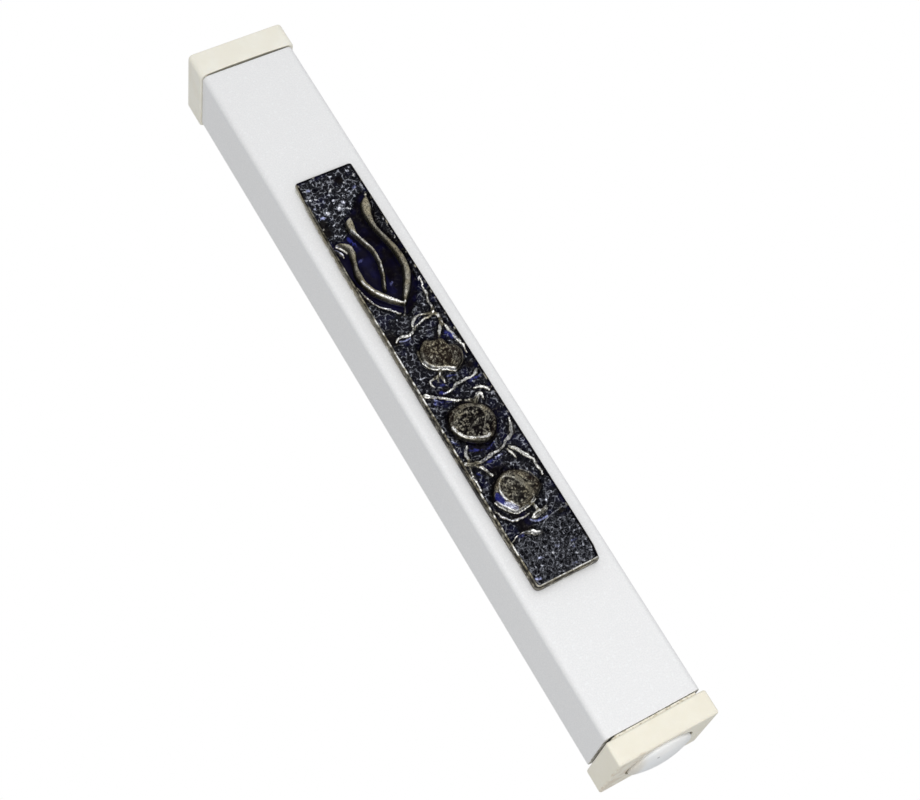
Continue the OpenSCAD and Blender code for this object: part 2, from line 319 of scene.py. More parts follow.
def white_plastic():
    """White plastic of the stopper, with a painted highlight on its front, painted shade that makes
    its left end darker and yellower, and a gate mark.
    """
    m = Nodes("white_plastic")
    cloud = m.noise(4.0, 2.0, 0.5, seed=4.0)
    grain = m.noise(0.2, 2.0, 0.5, seed=9.0)
    color = m.mix(m.ramp(cloud, 0.35, 0.65), (0.87, 0.885, 0.90), (0.905, 0.91, 0.91))
    color = m.mix(m.ramp(grain, 0.5, 0.8, (0.0, 0.2)), color, (0.76, 0.78, 0.8))
    # Painted highlight on the front slope of the dome.
    front = m.times(m.zone("Y", MID_Y - 7.0, MID_Y - 5.0, 1.6), m.zone("X", -1.5, 7.0, 3.0))
    color = m.mix(front, color, (0.97, 0.965, 0.955))
    # Painted shade: the left end darker and yellower.
    left = m.zone("X", -7.0, -5.6, 2.0)
    color = m.mix(m.times(left, 0.8), color, (0.74, 0.69, 0.60))
    gate = m.times(m.zone("X", -2.05, -1.75, 0.2), m.zone("Y", MID_Y - 3.95, MID_Y - 3.65, 0.2))
    color = m.mix(m.times(gate, 0.7), color, (0.34, 0.33, 0.34))
    return m.shader(Base_Color=color, Roughness=m.ramp(grain, 0.3, 0.7, (0.36, 0.46)),
                    IOR=1.5, Normal=m.bump(grain, 0.2, 0.015), Subsurface_Weight=0.1,
                    Subsurface_Radius=(0.0008, 0.0008, 0.0008), Subsurface_Scale=1.0)


def pewter():
    """Dark patina with rubbed metal and painted highlights. It reads the relief attribute: red is
    wear with painted highlights and glints, and green is blue patina. Blue is brown patina on the
    fruits and strokes, and on the ground how fine its ridges are. Alpha is how much the ground's
    ridges are rubbed."""
    m = Nodes("antiqued_pewter")
    layer = m.add("Attribute", attribute_name="relief")
    wear, blue, pits = m.add("SeparateColor", {0: layer.outputs["Color"]}).outputs[:3]
    rubbed = layer.outputs["Alpha"]
    fine = m.noise(0.20, 3.0, 0.65)
    cloud = m.noise(2.2, 2.0, 0.5, seed=6.0)
    patchy = m.noise(0.8, 2.0, 0.6, seed=12.0)
    whole = m.math("MAXIMUM", m.ramp(patchy, 0.42, 0.62), m.ramp(pits, 0.2, 1.0, (0.0, 0.45)))
    wide = m.times(m.ramp(m.network(1.05, 1.0), 0.14, 0.02), whole,
                   m.ramp(pits, 0.0, 1.0, (1.0, 0.62)))
    thin = m.times(m.ramp(m.network(0.55, 0.6, seed=3.0), 0.17, 0.03), m.ramp(fine, 0.42, 0.66),
                   m.ramp(pits, 0.0, 1.0, (0.12, 0.50)))
    ridges = m.times(m.math("MAXIMUM", wide, thin), rubbed)
    metal = m.mix(m.ramp(cloud, 0.35, 0.65), (0.66, 0.59, 0.42), (0.74, 0.70, 0.58))
    metal = m.mix(m.ramp(rubbed, 0.0, 0.3), metal, (0.66, 0.68, 0.76))
    # Where wear is high the metal turns near white: rubbed metal, and painted highlights where the
    # relief has them.
    metal = m.mix(m.ramp(wear, 0.55, 0.85), metal, (1.0, 0.99, 0.96))
    metal = m.mix(m.times(blue, 0.85), metal, (0.46, 0.52, 0.95))
    patina = m.mix(m.ramp(cloud, 0.4, 0.6), (0.0010, 0.0010, 0.0022), (0.0028, 0.0027, 0.0036))
    brown = m.times(pits, m.ramp(rubbed, 0.0, 0.2, (1.0, 0.0)))
    patina = m.mix(brown, patina, (0.0100, 0.0062, 0.0050))
    patina = m.mix(blue, patina, (0.008, 0.010, 0.12))
    gnawed = m.ramp(m.math("SUBTRACT", fine, m.times(brown, 0.10)), 0.30, 0.50, (0.12, 1.0))
    # Painted glints: random spots on the ground's ridges made brighter, up to 1.5 times.
    painted_glint = m.ramp(m.noise(0.5, 1.0, 0.5, seed=20.0), 0.56, 0.68, (0.52, 1.5))
    bare_metal_and_glint = m.math("MAXIMUM", m.times(wear, gnawed), m.times(ridges, painted_glint))
    return m.shader(Base_Color=m.mix(bare_metal_and_glint, patina, metal), Metallic=1.0,
                    Roughness=m.ramp(bare_metal_and_glint, 0.0, 1.0, (0.42, 0.34)),
                    Normal=m.bump(fine, 0.45, 0.03, m.bump(ridges, 0.8, 0.07)))


def foam():
    m = Nodes("foam_tape")
    cells = m.noise(0.35, 3.0, 0.7)
    color = m.mix(m.ramp(cells, 0.35, 0.7), (0.62, 0.62, 0.60), (0.84, 0.84, 0.82))
    return m.shader(Base_Color=color, Roughness=0.85, Normal=m.bump(cells, 0.6, 0.12))


def liner():
    m = Nodes("liner_paper")
    fibre = m.noise(0.4, 4.0, 0.65, stretch=(1, 1, 0.25))
    cloud = m.noise(9.0, 2.0, 0.5, seed=2.0)
    color = m.mix(m.ramp(cloud, 0.3, 0.7), (0.78, 0.74, 0.62), (0.85, 0.82, 0.72))
    color = m.mix(m.ramp(fibre, 0.5, 0.75, (0.0, 0.35)), color, (0.68, 0.63, 0.50))
    return m.shader(Base_Color=color, Roughness=0.38, Normal=m.bump(fibre, 0.3, 0.02))


def parchment():
    m = Nodes("parchment")
    fibre = m.noise(0.5, 4.0, 0.6, stretch=(1, 1, 0.4))
    cloud = m.noise(7.0, 3.0, 0.55, seed=7.0)
    color = m.mix(m.ramp(cloud, 0.3, 0.7), (0.62, 0.50, 0.32), (0.76, 0.66, 0.47))
    color = m.mix(m.ramp(fibre, 0.5, 0.8, (0.0, 0.4)), color, (0.50, 0.38, 0.22))
    return m.shader(Base_Color=color, Roughness=0.7,
                    Normal=m.bump(fibre, 0.45, 0.05, m.bump(cloud, 0.3, 0.2)))


def film():
    m = Nodes("sleeve_film")
    scuff = m.noise(1.2, 4.0, 0.7, stretch=(1, 1, 0.2))
    color = m.mix(m.ramp(scuff, 0.5, 0.8), (0.96, 0.985, 0.99), (0.88, 0.92, 0.93))
    return m.shader(Base_Color=color, Roughness=m.ramp(scuff, 0.45, 0.75, (0.04, 0.22)), IOR=1.45,
                    Transmission_Weight=1.0, Normal=m.bump(scuff, 0.15, 0.03))


def adhesive():
    m = Nodes("adhesive_film")
    blot = m.noise(1.5, 3.0, 0.6)
    color = m.mix(m.ramp(blot, 0.4, 0.7), (0.60, 0.60, 0.54), (0.74, 0.74, 0.68))
    return m.shader(Base_Color=color, Roughness=0.3, Normal=m.bump(blot, 0.4, 0.05))


# ---------------------------------------------------------------- tube and caps

PLUG_GAP = 0.15
PLUG_W, PLUG_D, PLUG_L = INNER_W - 2 * PLUG_GAP, INNER_D - 2 * PLUG_GAP, 10.0
GROOVE, GROOVE_INSET = 0.25, 0.7     # groove under the top cap's block: height and depth
BLOCK_H = 4.7                        # the bottom cap's block
LEDGE_GAP, LEDGE_INSET, LEDGE_SIDE, LEDGE_R = 0.1, 0.15, 1.2, 0.3
HOLE_R, SEAT_R, SEAT_DEPTH = 6.0, 6.9, 0.5


def make_tube():
    cut = 0.12                       # softened cut edges of the coated tube

    def outer(inset, z):
        return rect_ring(TUBE_W - 2 * inset, TUBE_D - 2 * inset, TUBE_R - inset, z)

    def inner(out, z):
        return rect_ring(INNER_W + 2 * out, INNER_D + 2 * out, INNER_R + out, z)

    quarter = arc(cut, 3)
    length = np.linspace(TUBE_FOOT + cut + SUPPORT, TUBE_TOP - cut - SUPPORT, 13)
    rings = [outer(i, TUBE_FOOT + a) for i, a in quarter]
    rings += [outer(0, z) for z in length]
    rings += [outer(i, TUBE_TOP - a) for i, a in reversed(quarter)]
    rings += [inner(i, TUBE_TOP - a) for i, a in quarter]
    rings += [inner(0, z) for z in reversed(length)]
    rings += [inner(i, TUBE_FOOT + a) for i, a in reversed(quarter)]
    verts, faces = loft(rings, loop=True)
    build("tube_extrusion", verts, faces, "case", ["case_tube"], powder_coat())


def plug_rings(root, end):
    """Plug's outside from its root to its end. Its ribs stop short of both."""
    up = 1 if end > root else -1
    ramp = 0.5 * up
    # The ribs keep 1.5 from the tube's cut edge and from the plug's end
    first, last = (TUBE_FOOT if up > 0 else TUBE_TOP) + 1.5 * up, end - 1.5 * up
    rows = [(root, 0, 0), (first - ramp, 0, 0), (first, 0, PLUG_GAP), (last, 0, PLUG_GAP),
            (last + ramp, 0, 0), (end - 0.35 * up, 0, 0), (end, 0.35, 0)]
    return [rect_ring(PLUG_W - 2 * i, PLUG_D - 2 * i, INNER_R, z, rib) for z, i, rib in rows]


def make_top_cap(material):
    lo, hi = span("top_cap")
    w, d, top = hi[0] - lo[0], hi[1] - lo[1], hi[2]
    foot, end = TUBE_TOP + GROOVE, TUBE_TOP - PLUG_L
    lip = (w - TUBE_W) / 2
    radius, edge = 1.1, 0.5              # rounding of the upright edges and of the top

    def block(inset, z):
        return rect_ring(w - 2 * inset, d - 2 * inset, max(radius - inset, 0.05), z)

    def sagging(ring):
        """The lower edge hangs down at the corners and sides, so the groove fades out there."""
        out = []
        for x, y, z in ring:
            front = smooth(-(y - MID_Y), d / 2 - 1.6, d / 2 - 0.6) * (1 - smooth(abs(x), 4.0, 10.3))
            out.append((x, y, z - (GROOVE - 0.06) * (1 - front)))
        return out

    rings = [block(edge + 1.5, top), block(edge + SUPPORT, top)]
    rings += [block(i, top - a) for i, a in arc(edge, 7)]
    rings += [block(0, top - edge - SUPPORT), block(0, foot + 1.6)]
    rings += [sagging(block(i, foot + a)) for i, a in (
        (0, 0.45), (0, 0.2), (0.03, 0.09), (0.1, 0.02), (0.18, 0.0), (lip - 0.02, 0.0))]
    rings += [block(lip + GROOVE_INSET, foot), block(lip + GROOVE_INSET, TUBE_TOP),
              block(lip + 1.1, TUBE_TOP)]
    rings += plug_rings(TUBE_TOP, end)
    # The hollow inside the plug
    rings += [rect_ring(PLUG_W - 3 + more, PLUG_D - 3 + more, radius, z) for more, radius, z in (
        (0.5, INNER_R + 0.2, end), (0, INNER_R, end + 0.25), (0, INNER_R, TUBE_TOP - 0.6),
        (-0.4, INNER_R, TUBE_TOP - 0.1), (-1.2, INNER_R, TUBE_TOP))]
    verts, faces = loft(rings)
    build("top_cap_moulding", verts, faces, "case", ["top_cap"], material)


def make_bottom_cap(material):
    lo, hi = span("bottom_cap")
    w, d, foot, end = hi[0] - lo[0], hi[1] - lo[1], lo[2], hi[2]
    block_top, ledge_top, seat = foot + BLOCK_H, TUBE_FOOT - LEDGE_GAP, foot + SEAT_DEPTH
    upper, lower = 0.5, 0.4              # rounding of the block's upper and lower edges

    def block(inset, z):
        return rect_ring(w - 2 * inset, d - 2 * inset, max(0.5 - inset, 0.05), z)

    def ledge(inset, z):
        return rect_ring(TUBE_W - 2 * (LEDGE_SIDE + inset), TUBE_D - 2 * (LEDGE_INSET + inset),
                         LEDGE_R - inset, z)

    rings = [block(lower + 0.3, foot)]
    rings += [block(i, foot + a) for i, a in arc(lower, 5)]
    rings += [block(0, foot + lower + SUPPORT), block(0, block_top - upper - SUPPORT)]
    rings += [block(i, block_top - a) for i, a in reversed(arc(upper, 7))]
    rings += [ledge(0, block_top - 0.06), ledge(0.08, block_top - 0.02),
              ledge(0.03, block_top + 0.04), ledge(0, block_top + 0.1),
              ledge(0, ledge_top - 0.08), ledge(0.06, ledge_top), ledge(0.3, ledge_top)]
    rings += plug_rings(ledge_top, end)
    rings += [circle_ring(HOLE_R + 0.3, end), circle_ring(HOLE_R, end - 0.3)]
    rings += [circle_ring(HOLE_R, z) for z in np.linspace(end - 1, seat + 1, 4)]
    rings += [circle_ring(HOLE_R, seat + 0.15), circle_ring(HOLE_R + 0.12, seat),
              circle_ring(SEAT_R - 0.1, seat), circle_ring(SEAT_R, seat - 0.08),
              circle_ring(SEAT_R, foot + 0.1), circle_ring(SEAT_R + 0.1, foot)]
    verts, faces = loft(rings, loop=True)
    build("bottom_cap_moulding", verts, faces, "case", ["bottom_cap"], material)


def make_stopper():
    lo, hi = span("scroll_stopper")
    tip, top, seat = lo[2], hi[2], CASE_FOOT + SEAT_DEPTH
    head_r, shoulder, skirt_r, bore_r = 6.5, 6.1, 5.5, 4.2
    rim_z = seat - 1.0
    dome_h = rim_z - tip
    sphere_r = (head_r ** 2 + dome_h ** 2) / (2 * dome_h)

    def dome(r):
        return tip + sphere_r - math.sqrt(sphere_r ** 2 - r * r)

    # Outline as (radius, height), from the dimple at the tip to the floor of the bore
    path = [(0.12, dome(0) + 0.10), (0.3, dome(0.3) + 0.10), (0.42, dome(0.42) + 0.03),
            (0.55, dome(0.55))]
    path += [(r, dome(r)) for r in np.linspace(0.8, shoulder, 16)]
    path += [(shoulder + 0.4 * math.sin(t), rim_z - 0.05 + 0.35 * (1 - math.cos(t)))
             for t in np.linspace(0.25, math.pi / 2, 6)]
    path += [(head_r, seat - 0.35), (head_r - 0.1, seat - 0.1), (head_r - 0.25, seat),
             (5.62, seat), (skirt_r, seat + 0.12)]
    for z in (seat + 0.8, seat + 2.96, seat + 5.12):
        path += [(skirt_r, z - 0.02), (5.85, z + 0.12), (5.95, z + 0.3), (5.95, z + 0.5),
                 (5.85, z + 0.68), (skirt_r, z + 0.82)]
    path += [(skirt_r, top - 0.25), (5.25, top), (4.4, top), (bore_r, top - 0.2)]
    path += [(bore_r, seat + 1.6), (3.9, seat + 1.25), (3.4, seat + 1.2), (0.6, seat + 1.2)]
    verts, faces = loft([circle_ring(r, z, 96, 0.0) for r, z in path])
    build("stopper_moulding", verts, faces, "stopper", ["scroll_stopper"],
          white_plastic())


# ---------------------------------------------------------------- plaque

# Relief strokes: (x, z, half width) from the middle of the plaque. First the letter, then
# thin lines beside the strokes
SHIN = [
    [(5.35, 38.55, .12), (4.85, 37.6, .66), (4.3, 36.4, 1.0), (3.75, 34.53, .78), (3.53, 32.37, .52),
     (3.89, 29.79, .46), (4.53, 27.22, .55), (4.87, 24.63, .62), (4.92, 22.94, .66),
     (4.53, 20.62, .68), (3.51, 18.43, .7), (2.23, 16.5, .62), (0.56, 14.3, .38)],
    [(-0.05, 35.05, .35), (-0.45, 34.33, .78), (-0.6, 33.12, .72), (-0.55, 31.59, .42),
     (0.05, 29.28, .34), (0.69, 27.22, .38), (0.74, 25.15, .4), (0.43, 23.34, .38),
     (-0.08, 21.39, .36), (-0.72, 20.11, .34), (-1.44, 18.31, .32)],
    [(-5.15, 31.06, .1), (-4.25, 30.56, .34), (-3.2, 29.5, .6), (-3.18, 28.09, .62),
     (-3.85, 25.92, .5), (-4.36, 24.12, .6), (-4.52, 22.94, .66), (-4.31, 21.14, .6),
     (-3.67, 19.08, .6), (-2.64, 17.53, .6), (-1.23, 15.72, .52), (0.43, 14.12, .36)],
]
ECHO = [
    [(-5.85, 21.3, .08), (-5.65, 20.3, .14), (-5.15, 18.2, .18), (-4.55, 16.2, .16),
     (-3.3, 14.8, .18), (-2.2, 13.7, .16), (-1.1, 12.7, .14)],
    [(0.3, 14.01, .22), (0.0, 13.11, .2), (-0.54, 12.11, .16)],
    [(-5.9, 30.31, .1), (-5.2, 29.2, .22), (-4.9, 28.09, .12)],
    [(-5.9, -30.51, .1), (-5.34, -32.01, .16), (-4.06, -33.43, .19), (-2.52, -33.94, .17),
     (-0.34, -33.81, .12)],
]
BRANCHES = [
    [(5.87, 17.78, .16), (5.43, 14.7, .24), (5.05, 13.15, .22), (4.92, 11.6, .26),
     (4.53, 10.31, .36)],
    [(4.53, 10.31, .3), (3.12, 10.44, .22), (1.59, 10.84, .24), (0.56, 10.41, .24),
     (-0.34, 9.54, .24), (-0.85, 8.5, .26), (-1.75, 7.9, .24), (-3.03, 8.08, .22),
     (-4.06, 8.06, .22), (-4.88, 7.47, .12)],
    [(4.4, 10.11, .22), (2.35, 9.64, .2), (0.56, 9.09, .18), (-0.6, 8.4, .16)],
    [(4.53, 10.31, .34), (5.1, 9.39, .26), (5.1, 8.5, .26), (4.53, 7.34, .3),
     (3.77, 6.44, .24), (3.12, 5.15, .24)],
    [(5.05, 7.98, .22), (5.12, 6.67, .22), (5.43, 4.89, .24), (6.0, 2.58, .22), (6.1, -0.01, .14)],
    [(-5.75, -4.8, .45), (-4.31, -5.69, .28), (-2.77, -6.47, .24), (-1.49, -7.55, .22),
     (0.05, -8.28, .16)],
    [(-2.26, -5.74, .14), (-0.21, -5.56, .22), (1.33, -4.92, .26), (2.87, -5.05, .22),
     (4.66, -4.8, .22), (5.82, -4.02, .2)],
    [(3.38, -7.11, .12), (4.92, -7.63, .2), (6.0, -8.66, .16)],
    [(-6.1, -20.08, .3), (-5.08, -20.58, .34), (-3.03, -20.91, .3), (-0.98, -20.53, .26),
     (1.59, -20.13, .26), (2.87, -19.36, .26), (4.66, -18.46, .32), (5.3, -17.43, .28),
     (5.95, -15.62, .18)],
    [(-5.13, -20.00, .22), (-4.7, -18.2, .24), (-3.75, -17.04, .14)],
    [(-5.3, -20.89, .22), (-5.95, -22.59, .24), (-6.05, -25.92, .2)],
    [(-4.31, -21.17, .18), (-3.41, -22.38, .26), (-2.72, -24.26, .22)],
    [(3.25, -20.53, .2), (4.41, -22.33, .34), (5.6, -24.01, .26), (5.85, -25.92, .24),
     (5.95, -28.14, .2)],
    [(2.6, -20.89, .12), (3.0, -21.99, .2), (3.3, -23.00, .1)],
    [(-6.1, -37.18, .06), (-4.57, -36.58, .14), (-2.77, -36.43, .26), (-1.11, -37.38, .42),
     (-0.3, -37.58, .16)],
]
# Pomegranates: body outline, crown strokes, and the middle facet's inset, even wear,
# wear of its specks, and share of it without brown patina
FRUITS = [
    ([(-0.08, 5.53), (1.07, 4.97), (3.12, 4.64), (3.64, 2.83), (4.92, 2.05), (5.12, 0.5),
      (4.15, -1.3), (2.23, -2.34), (0.82, -1.44), (-0.47, -0.92), (-1.75, -0.01), (-2.52, 1.8),
      (-2.13, 3.86), (-1.23, 4.89)],
     [[(-0.35, -1.28, .4), (-0.59, -1.7, .42), (-1.4, -2.28, .36), (-2.2, -2.43, .3),
       (-3.3, -2.43, .22), (-3.5, -3.19, .22), (-3.16, -4.02, .1)],
      [(-0.9, -1.98, .3), (-1.6, -2.58, .26), (-2.05, -3.19, .1)],
      [(-0.7, -1.88, .34), (-0.9, -2.88, .26), (-0.98, -3.89, .1)]],
     (0.75, 0.1, 0.66, 0.0)),
    ([(-3.03, -9.56), (-0.47, -9.17), (2.1, -10.08), (3.64, -11.76), (4.02, -14.08),
      (2.87, -16.39), (0.82, -17.81), (-1.23, -17.43), (-3.29, -16.14), (-4.44, -14.59),
      (-4.82, -12.53), (-4.18, -10.47)],
     [[(1.9, -10.0, .3), (2.3, -9.6, .4), (2.8, -9.12, .38), (3.38, -8.53, .3),
       (3.95, -8.92, .22), (3.89, -9.93, .1)],
      [(2.0, -9.52, .3), (1.5, -9.02, .24), (0.7, -8.52, .1)]],
     (0.75, 0.0, 0.48, 0.8)),
    ([(-0.72, -24.53), (1.33, -24.91), (3.12, -26.32), (4.28, -28.4), (4.15, -29.94),
      (2.36, -31.35), (0.82, -32.15), (-2.52, -32.45), (-3.93, -30.85), (-4.88, -29.14),
      (-4.3, -27.12), (-2.77, -25.56)],
     [[(1.2, -32.1, .26), (1.25, -32.8, .3), (1.5, -33.81, .36)],
      [(-0.2, -34.82, .12), (0.8, -34.62, .3), (1.7, -34.31, .42), (2.82, -34.01, .26)]],
     (0.95, 0.12, 0.56, 0.8)),
]
RECESS = [(-6.11, 31.71), (-4.82, 31.51), (-2.0, 32.37), (-1.35, 34.83), (-0.1, 36.34), (1.2, 36.84),
          (2.6, 38.15), (4.2, 39.76), (5.9, 39.56), (5.75, 36.74), (4.92, 35.13), (4.5, 32.37),
          (5.3, 28.9), (5.94, 25.92), (5.69, 20.62), (4.92, 17.01), (2.87, 13.66), (0.2, 12.00),
          (-0.85, 12.5), (-2.52, 13.92), (-4.05, 15.72), (-5.21, 17.53), (-5.85, 20.62),
          (-6.2, 23.87), (-6.2, 27.89)]

# Small spots, the bright ones painted glints and the blue ones blue patina: x, z, half length, half
# width, turn in degrees, wear, blue
GLINTS_AND_BLUE_SPOTS = [
    (-5.4, 42.3, 1.0, .16, -12, .95, .1), (-3.7, 41.9, .55, .24, -25, 1.0, .1),
    (-4.3, 44.3, .45, .35, 20, .45, .5), (-0.25, 42.6, .6, .28, 35, .8, 0),
    (-0.7, 40.4, .35, .3, 0, .9, .3), (0.8, 39.2, .5, .36, -40, .95, .35),
    (-0.6, 38.2, .55, .48, -20, 1.0, .25), (1.15, 37.5, .5, .2, -25, .8, 0),
    (-3.2, 38.1, .55, .26, -30, .9, .2), (-4.5, 37.6, .6, .3, -15, .7, .8),
    (-5.9, 35.4, .5, .2, -40, .95, .2), (3.2, 43.2, .3, .22, 0, .8, 0),
    (5.75, 43.9, .6, .18, 80, .85, 0), (4.4, 41.4, .4, .25, 10, .35, .8),
    (2.7, 40.2, .7, .12, 60, .6, .1), (3.3, 40.9, .6, .12, -15, .6, .1),
    (5.9, 41.2, .7, .16, 85, .6, 0), (5.8, 39.3, .3, .25, 0, .7, 0),
    (-1.3, 45.2, .7, .12, -5, .5, 0), (0.7, 44.3, .6, .12, -30, .55, 0),
    (-2.6, 40.8, .4, .2, 60, .5, .3), (-4.9, 40.1, .25, .2, 0, .6, .3),
    (6.1, 32.6, .3, .16, 90, .7, 0), (6.1, 31.2, .25, .16, 90, .75, 0),
    (6.15, 29.3, .3, .16, 90, .7, 0), (6.15, 28.0, .35, .16, 90, .75, 0),
    (-1.95, 30.7, 1.5, .3, -72, .12, 1.0), (-1.6, 30.0, .9, .1, -72, .5, 1.0),
    (-5.6, 30.0, 1.0, .16, -62, .75, .75), (-2.4, 26.2, .5, .3, 20, .1, .8),
    (0.6, 19.3, .5, .3, 60, .12, .7), (5.9, 17.9, .35, .25, 0, .95, 0),
    (5.0, 4.6, 1.4, .5, -62, .15, 1.0), (4.7, 5.4, .5, .16, -62, .6, 1.0),
    (-4.2, -7.2, 1.1, .4, -22, .15, 1.0), (-3.0, -7.5, 1.5, .12, -12, .5, 1.0),
    (-4.4, -6.4, .5, .14, -60, .6, .8), (-1.7, -4.2, .7, .3, -15, .3, 1.0),
    (0.8, -3.1, 1.0, .14, -8, .4, .9), (-2.3, -5.6, .7, .26, -30, .2, 1.0),
    (4.5, -5.5, 1.3, .28, 6, .25, 1.0), (3.7, -5.6, .5, .1, 10, .6, .9),
    (-2.6, -18.6, 1.4, .26, -22, .3, 1.0), (0.2, -18.9, 1.3, .14, 20, .4, 1.0),
    (-0.3, -21.4, 2.2, .26, 6, .25, 1.0), (0.4, -21.3, .9, .12, 6, .9, .6),
    (-5.6, -15.6, .9, .3, -60, .55, .9), (-5.85, -15.2, .4, .14, -60, .95, .4),
    (-4.8, -23.0, .6, .25, -60, .2, .9), (6.0, -9.6, .4, .2, 20, .7, .1),
    (6.1, -20.6, .5, .12, 0, .6, .2), (4.4, -7.1, .6, .12, -30, .6, 0),
    (0.7, -35.5, 1.1, .16, -10, .35, 1.0), (2.0, -35.6, .6, .1, 8, .6, .9),
    (-4.0, -36.8, .7, .3, -10, .1, .8), (-5.6, -45.3, .6, .28, -20, .8, .8),
    (0.95, -41.3, .6, .24, -25, .8, .5), (-3.1, -42.0, .5, .2, -15, .75, .5),
    (-0.5, -42.2, .4, .16, 0, .75, .1), (0.85, -46.5, .3, .2, 0, .85, .2),
    (2.65, -46.45, .35, .2, 0, .8, .2), (3.4, -44.1, .25, .25, 0, .7, 0),
    (3.5, -42.8, .5, .12, -5, .45, .6), (1.9, -45.6, .5, .12, 0, .4, .6),
    (6.1, -44.3, .35, .14, -15, .8, 0), (4.3, -41.7, .6, .2, 0, .25, .7),
]
# Edge lines, most of them painted highlights on edges that face the lower left, with a few dimmer
# lines and blue lines: (x, z) points, half width, wear, blue
HIGHLIGHT_EDGES = [
    ([(-4.72, 21.6), (-4.5, 20.6), (-3.6, 18.5), (-2.6, 17.1), (-0.5, 14.9), (0.5, 14.25),
      (0.85, 14.5)], 0.17, 1.0, 0),
    ([(-5.2, 30.95), (-4.5, 30.0), (-3.9, 28.8)], 0.16, 1.0, 0),
    ([(-1.15, 32.6), (-0.8, 31.8), (-0.4, 30.9)], 0.15, 1.0, 0),
    ([(0.4, 30.4), (0.95, 28.0), (1.1, 25.4), (0.6, 22.8)], 0.1, 0.72, 0),
    ([(-2.7, 7.75), (-1.7, 7.75), (-0.9, 8.3), (-0.4, 9.2)], 0.12, 0.95, 0),
    ([(-4.9, 7.5), (-4.3, 8.1), (-3.0, 7.85), (-2.0, 7.6)], 0.14, 1.0, 0),
    ([(-4.3, 7.35), (-3.3, 7.0), (-2.2, 7.15)], 0.12, 0.6, 0.8),
    ([(5.25, 7.0), (5.6, 4.9), (6.1, 2.6)], 0.14, 0.95, 0),
    ([(3.0, 4.4), (3.4, 2.6), (3.1, 0.2), (2.1, -0.9)], 0.12, 0.3, 0),
    ([(3.7, 2.7), (4.9, 1.9), (5.1, 0.4), (4.2, -1.2), (2.4, -2.3)], 0.22, 0.24, 0),
    ([(-2.3, 3.8), (-2.5, 1.8), (-1.8, 0.3), (-0.5, -0.6)], 0.35, 0.3, 0),
    ([(-2.5, 1.5), (-1.75, 0.0), (-0.47, -0.9), (0.82, -1.42), (2.23, -2.32)], 0.26, 1.0, 0),
    ([(-1.2, -9.7), (0.3, -9.6), (1.4, -10.2)], 0.3, 0.3, 0),
    ([(-4.0, -12.2), (-2.4, -10.5), (0.2, -10.2), (1.9, -11.0), (2.3, -13.0), (0.8, -15.4)],
     0.12, 0.26, 0),
    ([(-4.5, -12.8), (-4.05, -14.35), (-2.9, -15.75), (-1.3, -16.55), (0.4, -17.1), (1.0, -16.9)],
     0.26, 1.0, 0),
    ([(-4.85, -29.2), (-3.95, -30.8), (-2.5, -32.4), (-1.0, -32.45), (0.8, -32.1), (2.0, -31.6)],
     0.24, 1.0, 0),
    ([(-3.1, -27.4), (-3.1, -29.0), (-2.3, -30.5), (-1.5, -31.9)], 0.15, 1.0, 0.1),
    ([(-3.1, -27.4), (-2.2, -26.0), (-0.7, -25.5), (0.6, -26.6), (1.4, -28.5), (1.9, -30.5),
      (1.9, -31.7)], 0.15, 0.72, 0),
    ([(1.0, -26.6), (1.7, -28.6), (2.2, -30.6)], 0.4, 0.26, 0),
    ([(2.6, -25.2), (4.0, -26.9), (4.4, -28.8), (3.9, -30.2), (2.5, -31.2)], 0.11, 0.34, 0),
    ([(-0.3, -34.7), (0.4, -34.15), (1.2, -34.0), (2.5, -34.2)], 0.16, 1.0, 0),
    ([(-0.9, -34.8), (-0.4, -35.3), (0.6, -35.7), (2.2, -35.6)], 0.15, 0.6, 0.8),
    ([(0.05, -37.0), (1.6, -36.1), (3.3, -35.6), (5.7, -35.2)], 0.09, 0.45, 0),
    ([(3.2, -8.45), (3.75, -8.5), (4.0, -9.3)], 0.18, 0.95, 0),
]
# Facets beside the third fruit's middle: corners, wear, blue. The second one's high wear is a
# painted highlight.
FACETS = [([(-4.9, -28.9), (-4.1, -27.6), (-3.3, -28.4), (-3.2, -29.8), (-4.0, -30.6)], .1, .9),
          ([(-4.0, -30.6), (-3.2, -29.8), (-2.0, -31.0), (-1.6, -31.9), (-2.3, -32.4)], 1.5, .5)]

PLATE_H, PLATE_MID_Z = 94.0, -1.4
CELL = 0.12                          # size of the height field's squares
GROUND, RIM, FULL = 1.18, 1.52, 2.0  # heights over the plaque's back
# Skirt from the height field's edge to the back: inset, share of the height, wear. The lower rows
# grow lighter towards the back, next to the white tube: painted reflection of the tube.
SKIRT = [(0.30, 1.0, 0.75), (0.20, 0.965, 0.3), (0.11, 0.90, 0.12), (0.04, 0.80, 0.10),
         (0.0, 0.62, 0.13), (0.0, 0.3, 0.18), (0.0, 0.06, 0.24), (0.05, 0.0, 0.24)]
# Outline's sides: (z, x)
LEFT_SIDE = [(-47, -6.95), (-43.6, -6.93), (-35.5, -7.0), (-20.4, -6.96), (0, -6.87), (22.8, -6.81),
             (32.9, -6.61), (39.9, -6.38), (46.4, -5.75), (47, -5.7)]
RIGHT_SIDE = [(-47, 6.45), (-46.7, 6.5), (-44.2, 6.95), (-40, 7.0), (-20.4, 6.97), (0, 6.95),
              (22.8, 6.85), (46, 6.7), (47, 6.66)]


